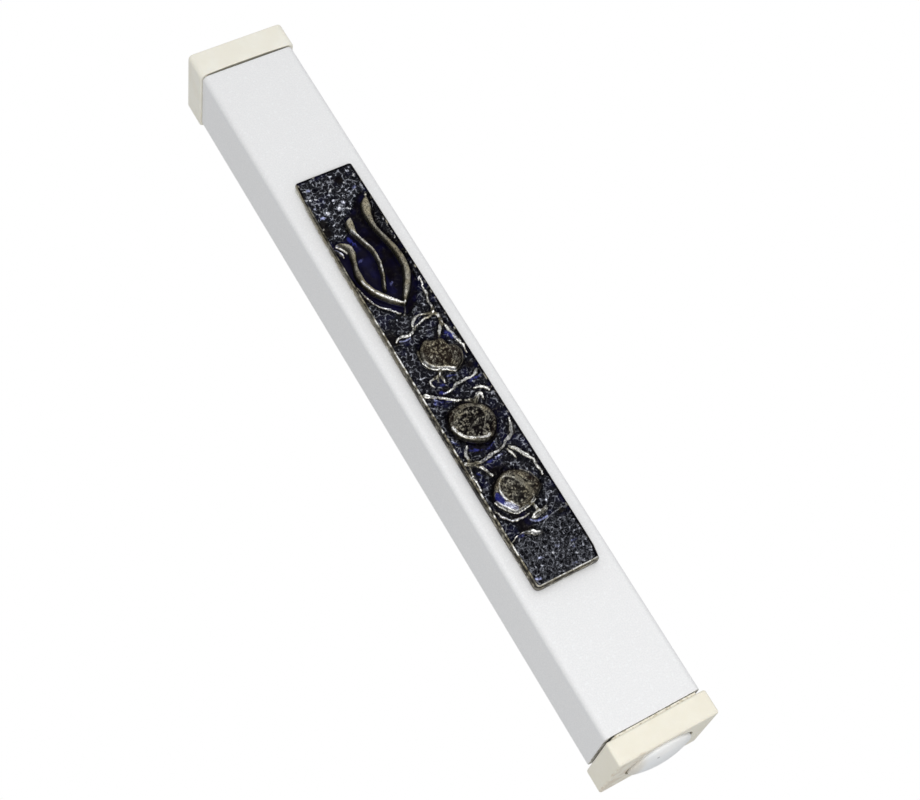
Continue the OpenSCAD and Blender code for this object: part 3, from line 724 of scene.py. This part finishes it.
def spline(points, steps=14, closed=False):
    """Catmull-Rom curve through the rows of points."""
    p = np.array(points, float)
    p = np.vstack([p[-1], p, p[0], p[1]]) if closed else np.vstack([p[0], p, p[-1]])
    out = []
    for a, b, c, d in zip(p, p[1:], p[2:], p[3:]):
        for t in np.arange(steps) / steps:
            out.append(0.5 * (2 * b + (c - a) * t + (2 * a - 5 * b + 4 * c - d) * t ** 2
                              + (3 * b - a - 3 * c + d) * t ** 3))
    if not closed:
        out.append(p[-2])
    return np.array(out)


def smooth(value, low, high):
    t = np.clip((value - low) / (high - low), 0, 1)
    return t * t * (3 - 2 * t)


def near(u, v, points, margin):
    """Mask of the grid points within margin of the points' box."""
    lo, hi = points[:, :2].min(0) - margin, points[:, :2].max(0) + margin
    return (u > lo[0]) & (u < hi[0]) & (v > lo[1]) & (v < hi[1])


def stroke_field(u, v, chain, reach=2.0):
    """Distance to a stroke's line as a share of its half width, and distance from its edge."""
    c = spline(chain)
    share = np.full(u.shape, 9.0)
    edge = np.full(u.shape, 9.0)
    mask = near(u, v, c, reach)
    d = np.hypot(u[mask][:, None] - c[None, :, 0], v[mask][:, None] - c[None, :, 1])
    w = np.maximum(c[None, :, 2], 0.06)
    share[mask] = (d / w).min(1)
    edge[mask] = (d - w).min(1)
    return share, edge


def inside_distance(u, v, outline, reach=2.0):
    """Signed distance to a closed outline, positive inside."""
    c = spline(outline, 8, closed=True)
    out = np.full(u.shape, -9.0)
    mask = near(u, v, c, reach)
    px, py = u[mask][:, None], v[mask][:, None]
    ax, ay = c[None, :, 0], c[None, :, 1]
    nxt = np.roll(c, -1, 0)
    bx, by = nxt[None, :, 0], nxt[None, :, 1]
    t = np.clip(((px - ax) * (bx - ax) + (py - ay) * (by - ay))
                / np.maximum((bx - ax) ** 2 + (by - ay) ** 2, 1e-9), 0, 1)
    dist = np.hypot(px - ax - t * (bx - ax), py - ay - t * (by - ay)).min(1)
    crossing = ((ay > py) != (by > py)) & (px < (bx - ax) * (py - ay) / (by - ay + 1e-12) + ax)
    out[mask] = np.where(crossing.sum(1) % 2 == 1, dist, -dist)
    return out


def cells(u, v, pitch, seed):
    """Random cells: how much further the second nearest of jittered points is than the
    nearest one, and the nearest one's number."""
    rng = np.random.default_rng(seed)
    gu, gv = u / pitch + 50, v / pitch + 90
    jitter = rng.random((120, 200, 3))
    iu, iv = np.floor(gu).astype(int), np.floor(gv).astype(int)
    first, second = np.full(u.shape, 9.0), np.full(u.shape, 9.0)
    number = np.zeros(u.shape)
    for du in (-1, 0, 1):
        for dv in (-1, 0, 1):
            j = jitter[(iu + du) % 120, (iv + dv) % 200]
            d = np.hypot(iu + du + 0.1 + 0.8 * j[..., 0] - gu, iv + dv + 0.1 + 0.8 * j[..., 1] - gv)
            closer = d < first
            second = np.where(closer, first, np.minimum(second, d))
            number = np.where(closer, j[..., 2], number)
            first = np.where(closer, d, first)
    return second * pitch - first * pitch, number


def value_noise(u, v, pitch, seed):
    """Smooth noise from 0 to 1 between random values on a grid of the given pitch."""
    rng = np.random.default_rng(seed)
    table = rng.random((160, 400))
    gu, gv = u / pitch + 40, v / pitch + 120
    iu, iv = np.floor(gu).astype(int), np.floor(gv).astype(int)
    fu, fv = gu - iu, gv - iv
    fu, fv = fu * fu * (3 - 2 * fu), fv * fv * (3 - 2 * fv)

    def at(a, b):
        return table[(iu + a) % 160, (iv + b) % 400]

    return ((at(0, 0) * (1 - fu) + at(1, 0) * fu) * (1 - fv)
            + (at(0, 1) * (1 - fu) + at(1, 1) * fu) * fv)


def side(v, inset, sign):
    """Where the outline, drawn in by inset, lies at height v, on the side of sign."""
    rows = np.array(LEFT_SIDE if sign < 0 else RIGHT_SIDE)
    out = np.abs(np.interp(v, rows[:, 0], rows[:, 1])) - inset
    half_h = PLATE_H / 2 - inset
    for end, corner in ((-1, 1.0 if sign < 0 else 0.5), (1, 0.55)):
        r = max(corner - inset, 0.1)
        over = np.clip(end * v - (half_h - r), 0, r)
        out = out - np.where(end * v > half_h - r, r - np.sqrt(np.maximum(r * r - over ** 2, 0)), 0)
    return sign * out


def ellipse(u, v, x, z, length, width, turn):
    """1 in the middle of a turned ellipse, falling to 0 just outside it."""
    c, s = math.cos(math.radians(turn)), math.sin(math.radians(turn))
    du, dv = u - x, v - z
    return smooth(np.hypot((du * c + dv * s) / length, (dv * c - du * s) / width), 1.25, 0.6)


def lay_ground(r):
    """Ridged ground, with the calm recess round the letter."""
    u, v, noise, broad = r.u, r.v, r.noise, r.broad
    gap, number = cells(r.bend_u, r.bend_v, 0.95, 11)
    fine_gap, fine_number = cells(r.bend_u, r.bend_v, 0.48, 5)
    web = 1 - smooth(gap, 0.02, 0.26)
    thin = 1 - smooth(fine_gap, 0.02, 0.16)
    lower = smooth(-v, 35.5, 37.5)
    upper = smooth(v, 29.0, 33.0)
    texture = ((0.16 + 0.06 * lower) * web * smooth(noise, 0.15, 0.6) - 0.12 * lower * (1 - web)
               + (0.09 - 0.05 * lower) * thin * smooth(noise, 0.3, 0.7)
               + (0.10 + 0.08 * upper) * (number - 0.5) * (1 - web)
               + 0.08 * (fine_number - 0.5) * (1 - thin) + 0.10 * (broad - 0.5))
    recess = smooth(inside_distance(u, v, RECESS, 1.5), -0.35, 0.35)
    calm = 1 - 0.97 * recess
    leftward = smooth(1.2 - u, 0, 2.0)
    r.h = GROUND - 0.22 * recess + texture * calm
    r.wear = 0.02 * noise * calm + recess * 0.006 * leftward
    r.pits = 0.2 + 0.8 * lower
    r.blue = 0.01 + 0.10 * smooth(value_noise(u, v, 1.6, 61), 0.5, 0.9) * (1 - lower)
    r.blue = r.blue + recess * (0.03 * smooth(value_noise(u, v, 1.3, 63), 0.3, 0.8)
                                + 0.05 * leftward)
    r.pebbles = calm * (0.60 + 0.30 * np.maximum(lower, upper))
    r.pebbles = r.pebbles * np.maximum(smooth(broad, 0.1, 0.5), 0.8 * lower)
    beside_letter = smooth(u, 3.4, 4.8) * smooth(36.5 - v, 0, 1.5) * smooth(v, 24, 26)
    r.pebbles = r.pebbles * (1 - 0.7 * beside_letter)


def lay_fruits(r):
    """Pomegranates: a bevel, a flank and a sunk middle facet, and their side facets, with a painted
    highlight along the bevel's lower-left side.
    """
    noise, lumps, grit = r.noise, r.lumps, r.grit
    ragged = 0.22 * (value_noise(r.u, r.v, 1.1, 31) - 0.5)
    for outline, _, (inset, even, specks, clean) in FRUITS:
        s = inside_distance(r.u, r.v, outline)
        dv, du = np.gradient(s, CELL)
        # How far the outline faces the lower left, where the painted highlight goes.
        lit = smooth((du * 0.62 + dv * 0.78) / np.maximum(np.hypot(du, dv), 1e-6), 0.45, 0.9)
        inner = s + ragged - inset
        mask = s > -0.03
        body = (GROUND - 0.14 + 0.62 * smooth(s, -0.03, 0.24) + 0.08 * smooth(s, 0.2, 0.6)
                - 0.13 * smooth(inner, 0.0, 0.22) + 0.10 * smooth(inner, 0.3, 1.2)
                - 0.10 * smooth(lumps, 0.45, 0.8) * smooth(inner, 0.0, 0.4))
        r.h = np.where(mask, body, r.h - 0.20 * smooth(s, -1.0, -0.1))
        flank = ((0.5 * smooth(grit, 0.3, 0.9) * noise + 0.35 * smooth(r.broad, 0.4, 0.9) * lumps)
                 * smooth(s, 0.0, 0.2))
        middle = (even * noise * lumps
                  + specks * smooth(grit, 0.35, 0.95) * smooth(noise, 0.1, 0.8) ** 1.5)
        worn = flank + (middle - flank) * smooth(inner, -0.05, 0.3)
        # Painted highlight: a line along the lit side of the bevel, with more wear and fewer pits.
        highlight_line = smooth(0.30 - np.abs(s - 0.17), 0.06, 0.22) * smooth(lit + 0.35 * noise, 0.15, 0.8)
        worn = np.maximum(worn, 0.30 * highlight_line * lit * noise)
        r.wear = np.where(mask, worn, r.wear)
        r.pits = np.where(mask, (1 - highlight_line * lit) * (1 - clean * smooth(inner, 0.0, 0.3)), r.pits)
        r.blue = np.where(mask, 0, r.blue)
        r.pebbles = np.where(mask, 0, r.pebbles * smooth(-s, 0.0, 0.7))
        r.reach = np.minimum(r.reach, np.where(mask, 9.0, -s))
    # The side facets' wear; the second one's is a painted highlight.
    for corners, worn, tint in FACETS:
        inside = smooth(inside_distance(r.u, r.v, corners, 1.0), -0.05, 0.25)
        r.wear = r.wear * (1 - inside) + worn * (0.3 + 1.5 * grit * noise) * inside
        r.blue = np.maximum(r.blue, tint * inside)
        r.h -= 0.06 * inside


def lay_strokes(r, chains, top, bevel, tint, shine):
    """Raised strokes with rounded backs, their crests rubbed bright."""
    u, v = r.u, r.v
    letter = chains is SHIN
    wobble, grow, fade = (0.2, -0.07, 0.26) if letter else (0.55, 0.02, 0.06)
    for chain in chains:
        share, off = stroke_field(u + wobble * (r.bend_u - u), v + wobble * (r.bend_v - v), chain)
        off = off + grow
        rise = smooth(-off, -0.02, bevel)
        ridge = GROUND - 0.1 + (top - GROUND + 0.1) * rise - 0.08 * np.minimum(share, 1) ** 2 * rise
        on = off < 0.02
        r.h = np.where(on, np.maximum(r.h, ridge + 0.05 * (r.lumps - 0.5)), r.h)
        crest = smooth(-off, -0.06, fade) * shine * (0.50 + 0.6 * r.noise + 0.4 * r.broad)
        if letter:
            crest = crest * np.interp(u, [-5, -3.6, -1.5, 1.2, 3], [0.5, 1.1, 1.6, 1.6, 1.0])
        r.wear = np.where(on, np.maximum(r.wear * (1 - rise), crest), r.wear)
        r.pits = np.where(on, (0.5 if letter else 0.0) * rise, r.pits)
        r.blue = np.where(on, tint * rise, r.blue)
        r.pebbles = np.where(on, 0, r.pebbles)
        r.reach = np.minimum(r.reach, np.where(on, 9.0, np.maximum(off, 0)))


def lay_moat(r):
    """Sunk and dark ground close to everything raised."""
    moat = smooth(1.15 - r.reach, 0.0, 1.0)
    r.h = r.h - 0.10 * moat
    r.wear = r.wear * (1 - 0.8 * moat)
    r.pebbles = r.pebbles * (1 - 0.75 * moat)


def lay_marks(r):
    """Edge lines, mostly painted highlights, and spots: bright ones are painted glints, blue ones
    blue patina. A spot is raised by its wear.
    """
    for points, half, worn, tint in HIGHLIGHT_EDGES:
        chain = [(x, z, 0.01) for x, z in points]
        highlight_line = smooth(half - stroke_field(r.u, r.v, chain)[1], 0.0, 0.12)
        highlight_line = highlight_line * (0.5 + smooth(r.noise, 0.1, 0.6) * 0.5)
        r.wear = r.wear * (1 - highlight_line) + worn * highlight_line
        r.blue = r.blue * (1 - highlight_line) + tint * highlight_line
    jog_u = r.u + 0.45 * (r.lumps - 0.5)
    jog_v = r.v + 0.45 * (r.grit - 0.5)
    for x, z, length, width, turn, worn, tint in GLINTS_AND_BLUE_SPOTS:
        spot = ellipse(jog_u, jog_v, x, z, length, width, turn)
        if tint > 0.85:
            spot, worn = spot * smooth(r.noise, 0.1, 0.5), worn * 0.18
        r.h = r.h + 0.12 * spot * worn
        r.wear = r.wear * (1 - spot) + np.maximum(r.wear, worn) * spot
        r.blue = r.blue * (1 - spot) + tint * spot


def lay_rim(r):
    """Rim along the outline: high and beaded on the left, high at the foot, low elsewhere. The left
    and foot rims are rubbed metal made brighter still as painted highlight, on the edges that face
    the light.
    """
    v, noise = r.v, r.noise
    left, right = r.u - side(v, 0, -1), side(v, 0, 1) - r.u
    on_left = smooth(0.74 - left, 0.0, 0.15) * smooth(44 - v, 0, 4)
    on_foot = smooth(0.72 - (v + PLATE_H / 2), 0.0, 0.25)
    on_rest = smooth(0.75 - np.minimum(right, PLATE_H / 2 - v), 0.0, 0.25)
    on_rest = np.maximum(on_rest, smooth(0.68 - left, 0.0, 0.2) * smooth(v, 40, 44))
    bright = np.clip(np.maximum(on_left, on_foot), 0, 1)
    rim = np.maximum(bright, on_rest)
    height = GROUND + 0.10 + (RIM - GROUND - 0.06) * bright + 0.05 * (noise - 0.5)
    beads = smooth(value_noise(r.u, v, 0.9, 77), 0.45, 0.85)
    # Painted highlight: the left rim and the foot are rubbed brighter than the rest, most of all
    # near v 4, and little towards the top.
    gain = np.interp(v, [-46.5, -2, 4, 16, 26], [1, 1, 1.3, 1.0, 0.3])
    worn = np.maximum(on_left * (0.06 + 0.5 * noise * r.lumps * 2 + 0.9 * beads) * gain,
                      0.5 * smooth(beads * noise, 0.35, 0.8) * on_rest)
    worn = np.maximum(worn, on_foot * (0.6 + 0.5 * noise))
    r.h = r.h * (1 - rim) + height * rim
    r.wear = np.where(rim > 0.02, r.wear * (1 - rim) + worn * rim, r.wear)
    r.blue = np.clip(r.blue, 0, 1) * (1 - bright)
    r.pits = r.pits * (1 - rim)
    r.pebbles = np.clip(r.pebbles, 0, 1) * (1 - rim)


def relief(u, v):
    """Height over the plaque's back at the points (u, v), and the wear with painted highlights,
    blue, pits and pebbles that pewter() reads. reach is the distance to the nearest raised part."""
    r = SimpleNamespace(u=u, v=v, reach=np.full(u.shape, 9.0))
    r.noise = value_noise(u, v, 0.5, 3)
    r.broad = value_noise(u, v, 2.6, 8)
    r.bend_u = u + 0.7 * (value_noise(u, v, 0.8, 13) - 0.5)
    r.bend_v = v + 0.7 * (value_noise(u, v, 0.8, 14) - 0.5)
    lay_ground(r)
    r.lumps = value_noise(u, v, 0.34, 21)
    r.grit = value_noise(u, v, 0.22, 22)
    lay_fruits(r)
    # Each with its top, bevel, blue and shine
    lay_strokes(r, ECHO, 1.46, 0.2, 0.45, 0.85)
    lay_strokes(r, BRANCHES, 1.72, 0.30, 0.0, 1.4)
    lay_strokes(r, [chain for fruit in FRUITS for chain in fruit[1]], 1.78, 0.30, 0.0, 1.1)
    lay_strokes(r, SHIN, 1.97, 0.34, 0.0, 0.40)
    lay_moat(r)
    lay_marks(r)
    lay_rim(r)
    return np.clip(r.h, 0.7, FULL), np.clip(r.wear, 0, 1), r.blue, r.pits, r.pebbles


def make_plaque():
    """Height field for the front, a skirt of rings down to the back, and the flat back."""
    back = span("plaque")[1][1]
    field_inset = 0.42                   # of the height field's edge from the outline
    cols = int(round(13.0 / CELL))
    rows = int(round((PLATE_H - 2 * field_inset) / CELL))

    def grid(inset, rows_at, s):
        v = rows_at * (PLATE_H / 2 - inset)
        left, right = side(v, inset, -1), side(v, inset, 1)
        return left + (right - left) * s, v

    s, t = np.meshgrid(np.linspace(0, 1, cols + 1), np.linspace(-1, 1, rows + 1))
    u, v = grid(field_inset, t, s)
    h, wear, blue, pits, pebbles = relief(u, v)
    verts = [np.stack([u, back - h, v + PLATE_MID_Z], -1).reshape(-1, 3)]
    colors = [np.stack([wear, blue, pits, pebbles], -1).reshape(-1, 4)]
    n = cols + 1
    i, k = np.meshgrid(np.arange(rows), np.arange(cols), indexing="ij")
    a = (i * n + k).ravel()
    faces = np.stack([a, a + 1, a + n + 1, a + n], -1).tolist()

    at = np.array([(0, c) for c in range(cols)] + [(r, cols) for r in range(rows)]
                  + [(rows, c) for c in range(cols, 0, -1)] + [(r, 0) for r in range(rows, 0, -1)])
    ring = at[:, 0] * n + at[:, 1]
    edge_h, edge_wear, edge_s, edge_t = (field.ravel()[ring] for field in (h, wear, s, t))
    total = len(verts[0])
    heights = [-47, -30, -20, -5, 5, 18, 47]
    for inset, share, worn in SKIRT:
        eu, ev = grid(inset, edge_t, edge_s)
        dents = value_noise(eu + ev, np.full_like(eu, share * 7), 0.45, 71)
        verts.append(np.stack([eu, back - edge_h * share * (1 - 0.03 * dents * (share > 0.5)),
                               ev + PLATE_MID_Z], -1))
        blotch = value_noise(eu + ev, np.full_like(eu, share * 2), 1.3, 72)
        even = np.interp(ev, heights, [0.10, 0.06, 0.0, 0.02, 0.40, 0.70, 1.0])
        patchy = np.interp(ev, heights, [1.1, 1.0, 0.8, 0.8, 0.8, 0.5, 0.3])
        wall = even + patchy * smooth(dents, 0.3, 0.8) * smooth(blotch, 0.2, 0.7)
        # Wall wear: lighter towards the top along its length, and towards the back a painted
        # reflection of the white tube.
        worn = edge_wear * worn if share > 0.95 else min(1.0, 4 * worn) * wall
        colors.append(np.stack([worn, 0 * eu, 0 * eu + 0.3, 0 * eu], -1))
        new = np.arange(total, total + len(ring))
        faces += np.stack([np.roll(ring, -1), ring, new, np.roll(new, -1)], -1).tolist()
        ring, total = new, total + len(ring)

    # The back: quads from side to side, and one face along each end
    ring = ring.tolist()
    foot, right = ring[:cols + 1], ring[cols:cols + rows + 1]
    top, left = ring[cols + rows:2 * cols + rows + 1], [*ring[2 * cols + rows:], ring[0]][::-1]
    faces += [(left[r], left[r + 1], right[r + 1], right[r]) for r in range(1, rows - 1)]
    faces.append((left[1], right[1], *reversed(foot)))
    faces.append((right[rows - 1], left[rows - 1], *reversed(top)))
    obj = build("plaque_casting", np.vstack(verts), faces, "case", ["plaque"],
                pewter(), sharp_deg=70)
    layer = obj.data.color_attributes.new("relief", "FLOAT_COLOR", "POINT")
    layer.data.foreach_set("color", np.vstack(colors).astype(np.float32).ravel())


# ---------------------------------------------------------------- back and scroll

def make_strip(name, node, corner, material, rough):
    """Flat strip on the back of the tube: rounded corners and cut edges with some wander."""
    lo, hi = span(node)
    width, thick, height = hi - lo
    mid_x, mid_z = (lo[0] + hi[0]) / 2, (lo[2] + hi[2]) / 2
    rng = np.random.default_rng(23)
    outline = []                         # x, z, and 1 where the edge may wander
    for sx, sz, start in ((1, 1, 0), (-1, 1, 90), (-1, -1, 180), (1, -1, 270)):
        cx, cz = sx * (width / 2 - corner), sz * (height / 2 - corner)
        for k in range(7):
            a = math.radians(start + 15 * k)
            outline.append((cx + corner * math.cos(a), cz + corner * math.sin(a), 0))
        if start in (90, 270):
            outline += [(sx * width / 2, cz + (-2 * cz) * q / 90, 1) for q in range(1, 90)]
    wander = rng.random(len(outline)) * rough
    soft = min(0.12, thick * 0.3)
    rings = []
    for depth, inset in ((0, soft), (soft * 0.3, soft * 0.3), (soft, 0), (thick / 2, rough * 0.5),
                         (thick - soft, 0), (thick - soft * 0.3, soft * 0.3), (thick, soft)):
        shrink_z = 1 - 2 * inset / height
        rings.append([(mid_x + x * (1 - 2 * (inset + off * free) / width), lo[1] + depth,
                       mid_z + z * shrink_z) for (x, z, free), off in zip(outline, wander)])
    verts, faces = loft(rings)
    build(name, verts, faces, "case", [node], material, sharp_deg=40)


def make_parchment():
    """Spiral sheet with slightly uneven turns and ends."""
    lo, hi = span("scroll_parchment")
    turns, pitch, thick, outer = 4, 0.4, 0.28, 5.25
    rows, steps = 48, 60
    angle = np.linspace(0, 2 * math.pi * turns, turns * steps + 1)
    rings = []
    for k, z in enumerate(np.linspace(lo[2], hi[2], rows + 1)):
        ripple = 0.018 * np.sin(angle * 3 + 0.35 * k) + 0.012 * np.sin(angle * 7.3 + 1.1 * k)
        r_out = outer - 0.035 - pitch * (turns - angle / (2 * math.pi)) + ripple
        turn = angle + 0.02 * math.sin(k * 0.5)
        dz = 0.0 if 0 < k < rows else 0.15 * np.sin(angle * 0.8) ** 2 * (1 if k == 0 else -1)
        sheet = [np.stack([r * np.cos(turn), MID_Y + r * np.sin(turn), z + dz + 0 * angle], -1)
                 for r in (r_out, r_out - thick)]
        rings.append([tuple(p) for p in np.vstack([sheet[0], sheet[1][::-1]])])
    n = len(rings[0])
    verts, faces = loft(rings, ends=False)
    last = (len(rings) - 1) * n
    for k in range(n // 2 - 1):
        faces.append((k, n - 1 - k, n - 2 - k, k + 1))
        faces.append((last + k, last + k + 1, last + n - 2 - k, last + n - 1 - k))
    build("rolled_parchment", verts, faces, "scroll", ["scroll_parchment"],
          parchment(), sharp_deg=50)


def make_sleeve():
    lo, hi = span("scroll_sleeve")
    outer, thick, n = 5.5, 0.15, 120
    seam = 0.045                         # the film laps over itself along one line

    def ring(radius, z, lap):
        out = []
        for k in range(n):
            a = 2 * math.pi * k / n
            r = radius - 0.05 + (seam if lap and 0.5 < a < 1.0 else 0.0)
            out.append((r * math.cos(a), MID_Y + r * math.sin(a), z))
        return out

    heights = np.linspace(lo[2], hi[2], 9)
    rings = [ring(outer, z, True) for z in heights]
    rings += [ring(outer - thick + 0.05, z, False) for z in reversed(heights)]
    verts, faces = loft(rings, loop=True)
    build("scroll_film_sleeve", verts, faces, "scroll", ["scroll_sleeve"],
          film(), sharp_deg=40)


# ---------------------------------------------------------------- scene

# Camera fitted to the photo: turn, rise and roll in degrees, place, and lens in millimetres
CAMERA_ANGLES = (21.1487, 19.9737, -31.9050)
CAMERA_PLACE = (-0.111342, -0.305613, -0.121567)
LENS, SENSOR = 69.4591, 36.0
FLOOR_Z, FLOOR_HALF, FLOOR_SQUARES = -0.24, 6.0, 24


def make_camera():
    turn, rise, roll = (math.radians(a) for a in CAMERA_ANGLES)
    forward = Vector((math.sin(turn) * math.cos(rise), math.cos(turn) * math.cos(rise),
                      math.sin(rise)))
    level = forward.cross(Vector((0, 0, 1))).normalized()
    above = level.cross(forward)
    right = level * math.cos(roll) + above * math.sin(roll)
    up = above * math.cos(roll) - level * math.sin(roll)
    data = bpy.data.cameras.new("camera")
    data.lens, data.sensor_width = LENS, SENSOR
    data.clip_start, data.clip_end = 0.01, 20.0
    camera = bpy.data.objects.new("camera", data)
    matrix = Matrix((right, up, -forward)).transposed().to_4x4()
    matrix.translation = Vector(CAMERA_PLACE)
    camera.matrix_world = matrix
    bpy.context.scene.collection.objects.link(camera)
    bpy.context.scene.camera = camera


def area_light(name, place, target, size, power):
    data = bpy.data.lights.new(name, "AREA")
    data.shape = "DISK"
    data.size, data.energy = size, power
    lamp = bpy.data.objects.new(name, data)
    lamp.location = place
    lamp.rotation_mode = "QUATERNION"
    lamp.rotation_quaternion = (Vector(target) - Vector(place)).to_track_quat("-Z", "Y")
    bpy.context.scene.collection.objects.link(lamp)


def make_world():
    """White where the camera looks past the object, softer where it lights the object."""
    world = bpy.data.worlds.new("studio")
    bpy.context.scene.world = world
    world.use_nodes = True
    tree = world.node_tree
    tree.nodes.clear()
    out, mix, path, soft, white = (tree.nodes.new("ShaderNode" + kind) for kind in (
        "OutputWorld", "MixShader", "LightPath", "Background", "Background"))
    for node, color, strength in ((soft, (0.97, 0.985, 1.0, 1), 0.665), (white, (1, 1, 1, 1), 1.0)):
        node.inputs["Color"].default_value = color
        node.inputs["Strength"].default_value = strength
    tree.links.new(path.outputs["Is Camera Ray"], mix.inputs[0])
    tree.links.new(soft.outputs[0], mix.inputs[1])
    tree.links.new(white.outputs[0], mix.inputs[2])
    tree.links.new(mix.outputs[0], out.inputs[0])


def make_floor():
    n = FLOOR_SQUARES
    at = [(k / n - 0.5) * 2 * FLOOR_HALF for k in range(n + 1)]
    corners = [i * (n + 1) + k for i in range(n) for k in range(n)]
    mesh = bpy.data.meshes.new("floor")
    mesh.from_pydata([(x, y, FLOOR_Z) for x in at for y in at], [],
                     [(a, a + n + 1, a + n + 2, a + 1) for a in corners])
    floor = bpy.data.objects.new("floor", mesh)
    bpy.context.scene.collection.objects.link(floor)
    m = Nodes("floor_paper")
    tone = m.noise(160.0, 2.0, 0.5)
    color = m.mix(m.ramp(tone, 0.3, 0.7), (0.80, 0.80, 0.795), (0.83, 0.83, 0.825))
    mesh.materials.append(m.shader(Base_Color=color, Roughness=0.8))


bpy.context.scene.view_settings.view_transform = "Standard"
make_camera()
make_world()
make_floor()
area_light("key", (-0.28, -0.85, -0.12), (0, 0, -0.02), 0.5, 1.32)
area_light("sheen", (0.36, -0.92, 0.36), (0, 0, 0), 0.7, 1.14)
area_light("low_fill", (-0.10, -0.32, -0.215), (0, -0.01, -0.08), 0.16, 0.39)

make_tube()
make_top_cap(ivory("ivory_plastic", (0.845, 0.81, 0.705), (0.875, 0.85, 0.755), top_groove_shade))
make_bottom_cap(ivory("ivory_plastic_foot", (0.83, 0.785, 0.66), (0.86, 0.82, 0.705), bottom_soil_and_shade))
make_stopper()
make_plaque()
make_strip("adhesive_film", "plaque_adhesive", 0.6, adhesive(), 0.1)
make_strip("foam_strip", "mounting_tape", 0.3, foam(), 0.12)
make_strip("release_liner", "tape_liner", 1.5, liner(), 0.05)
make_parchment()
make_sleeve()
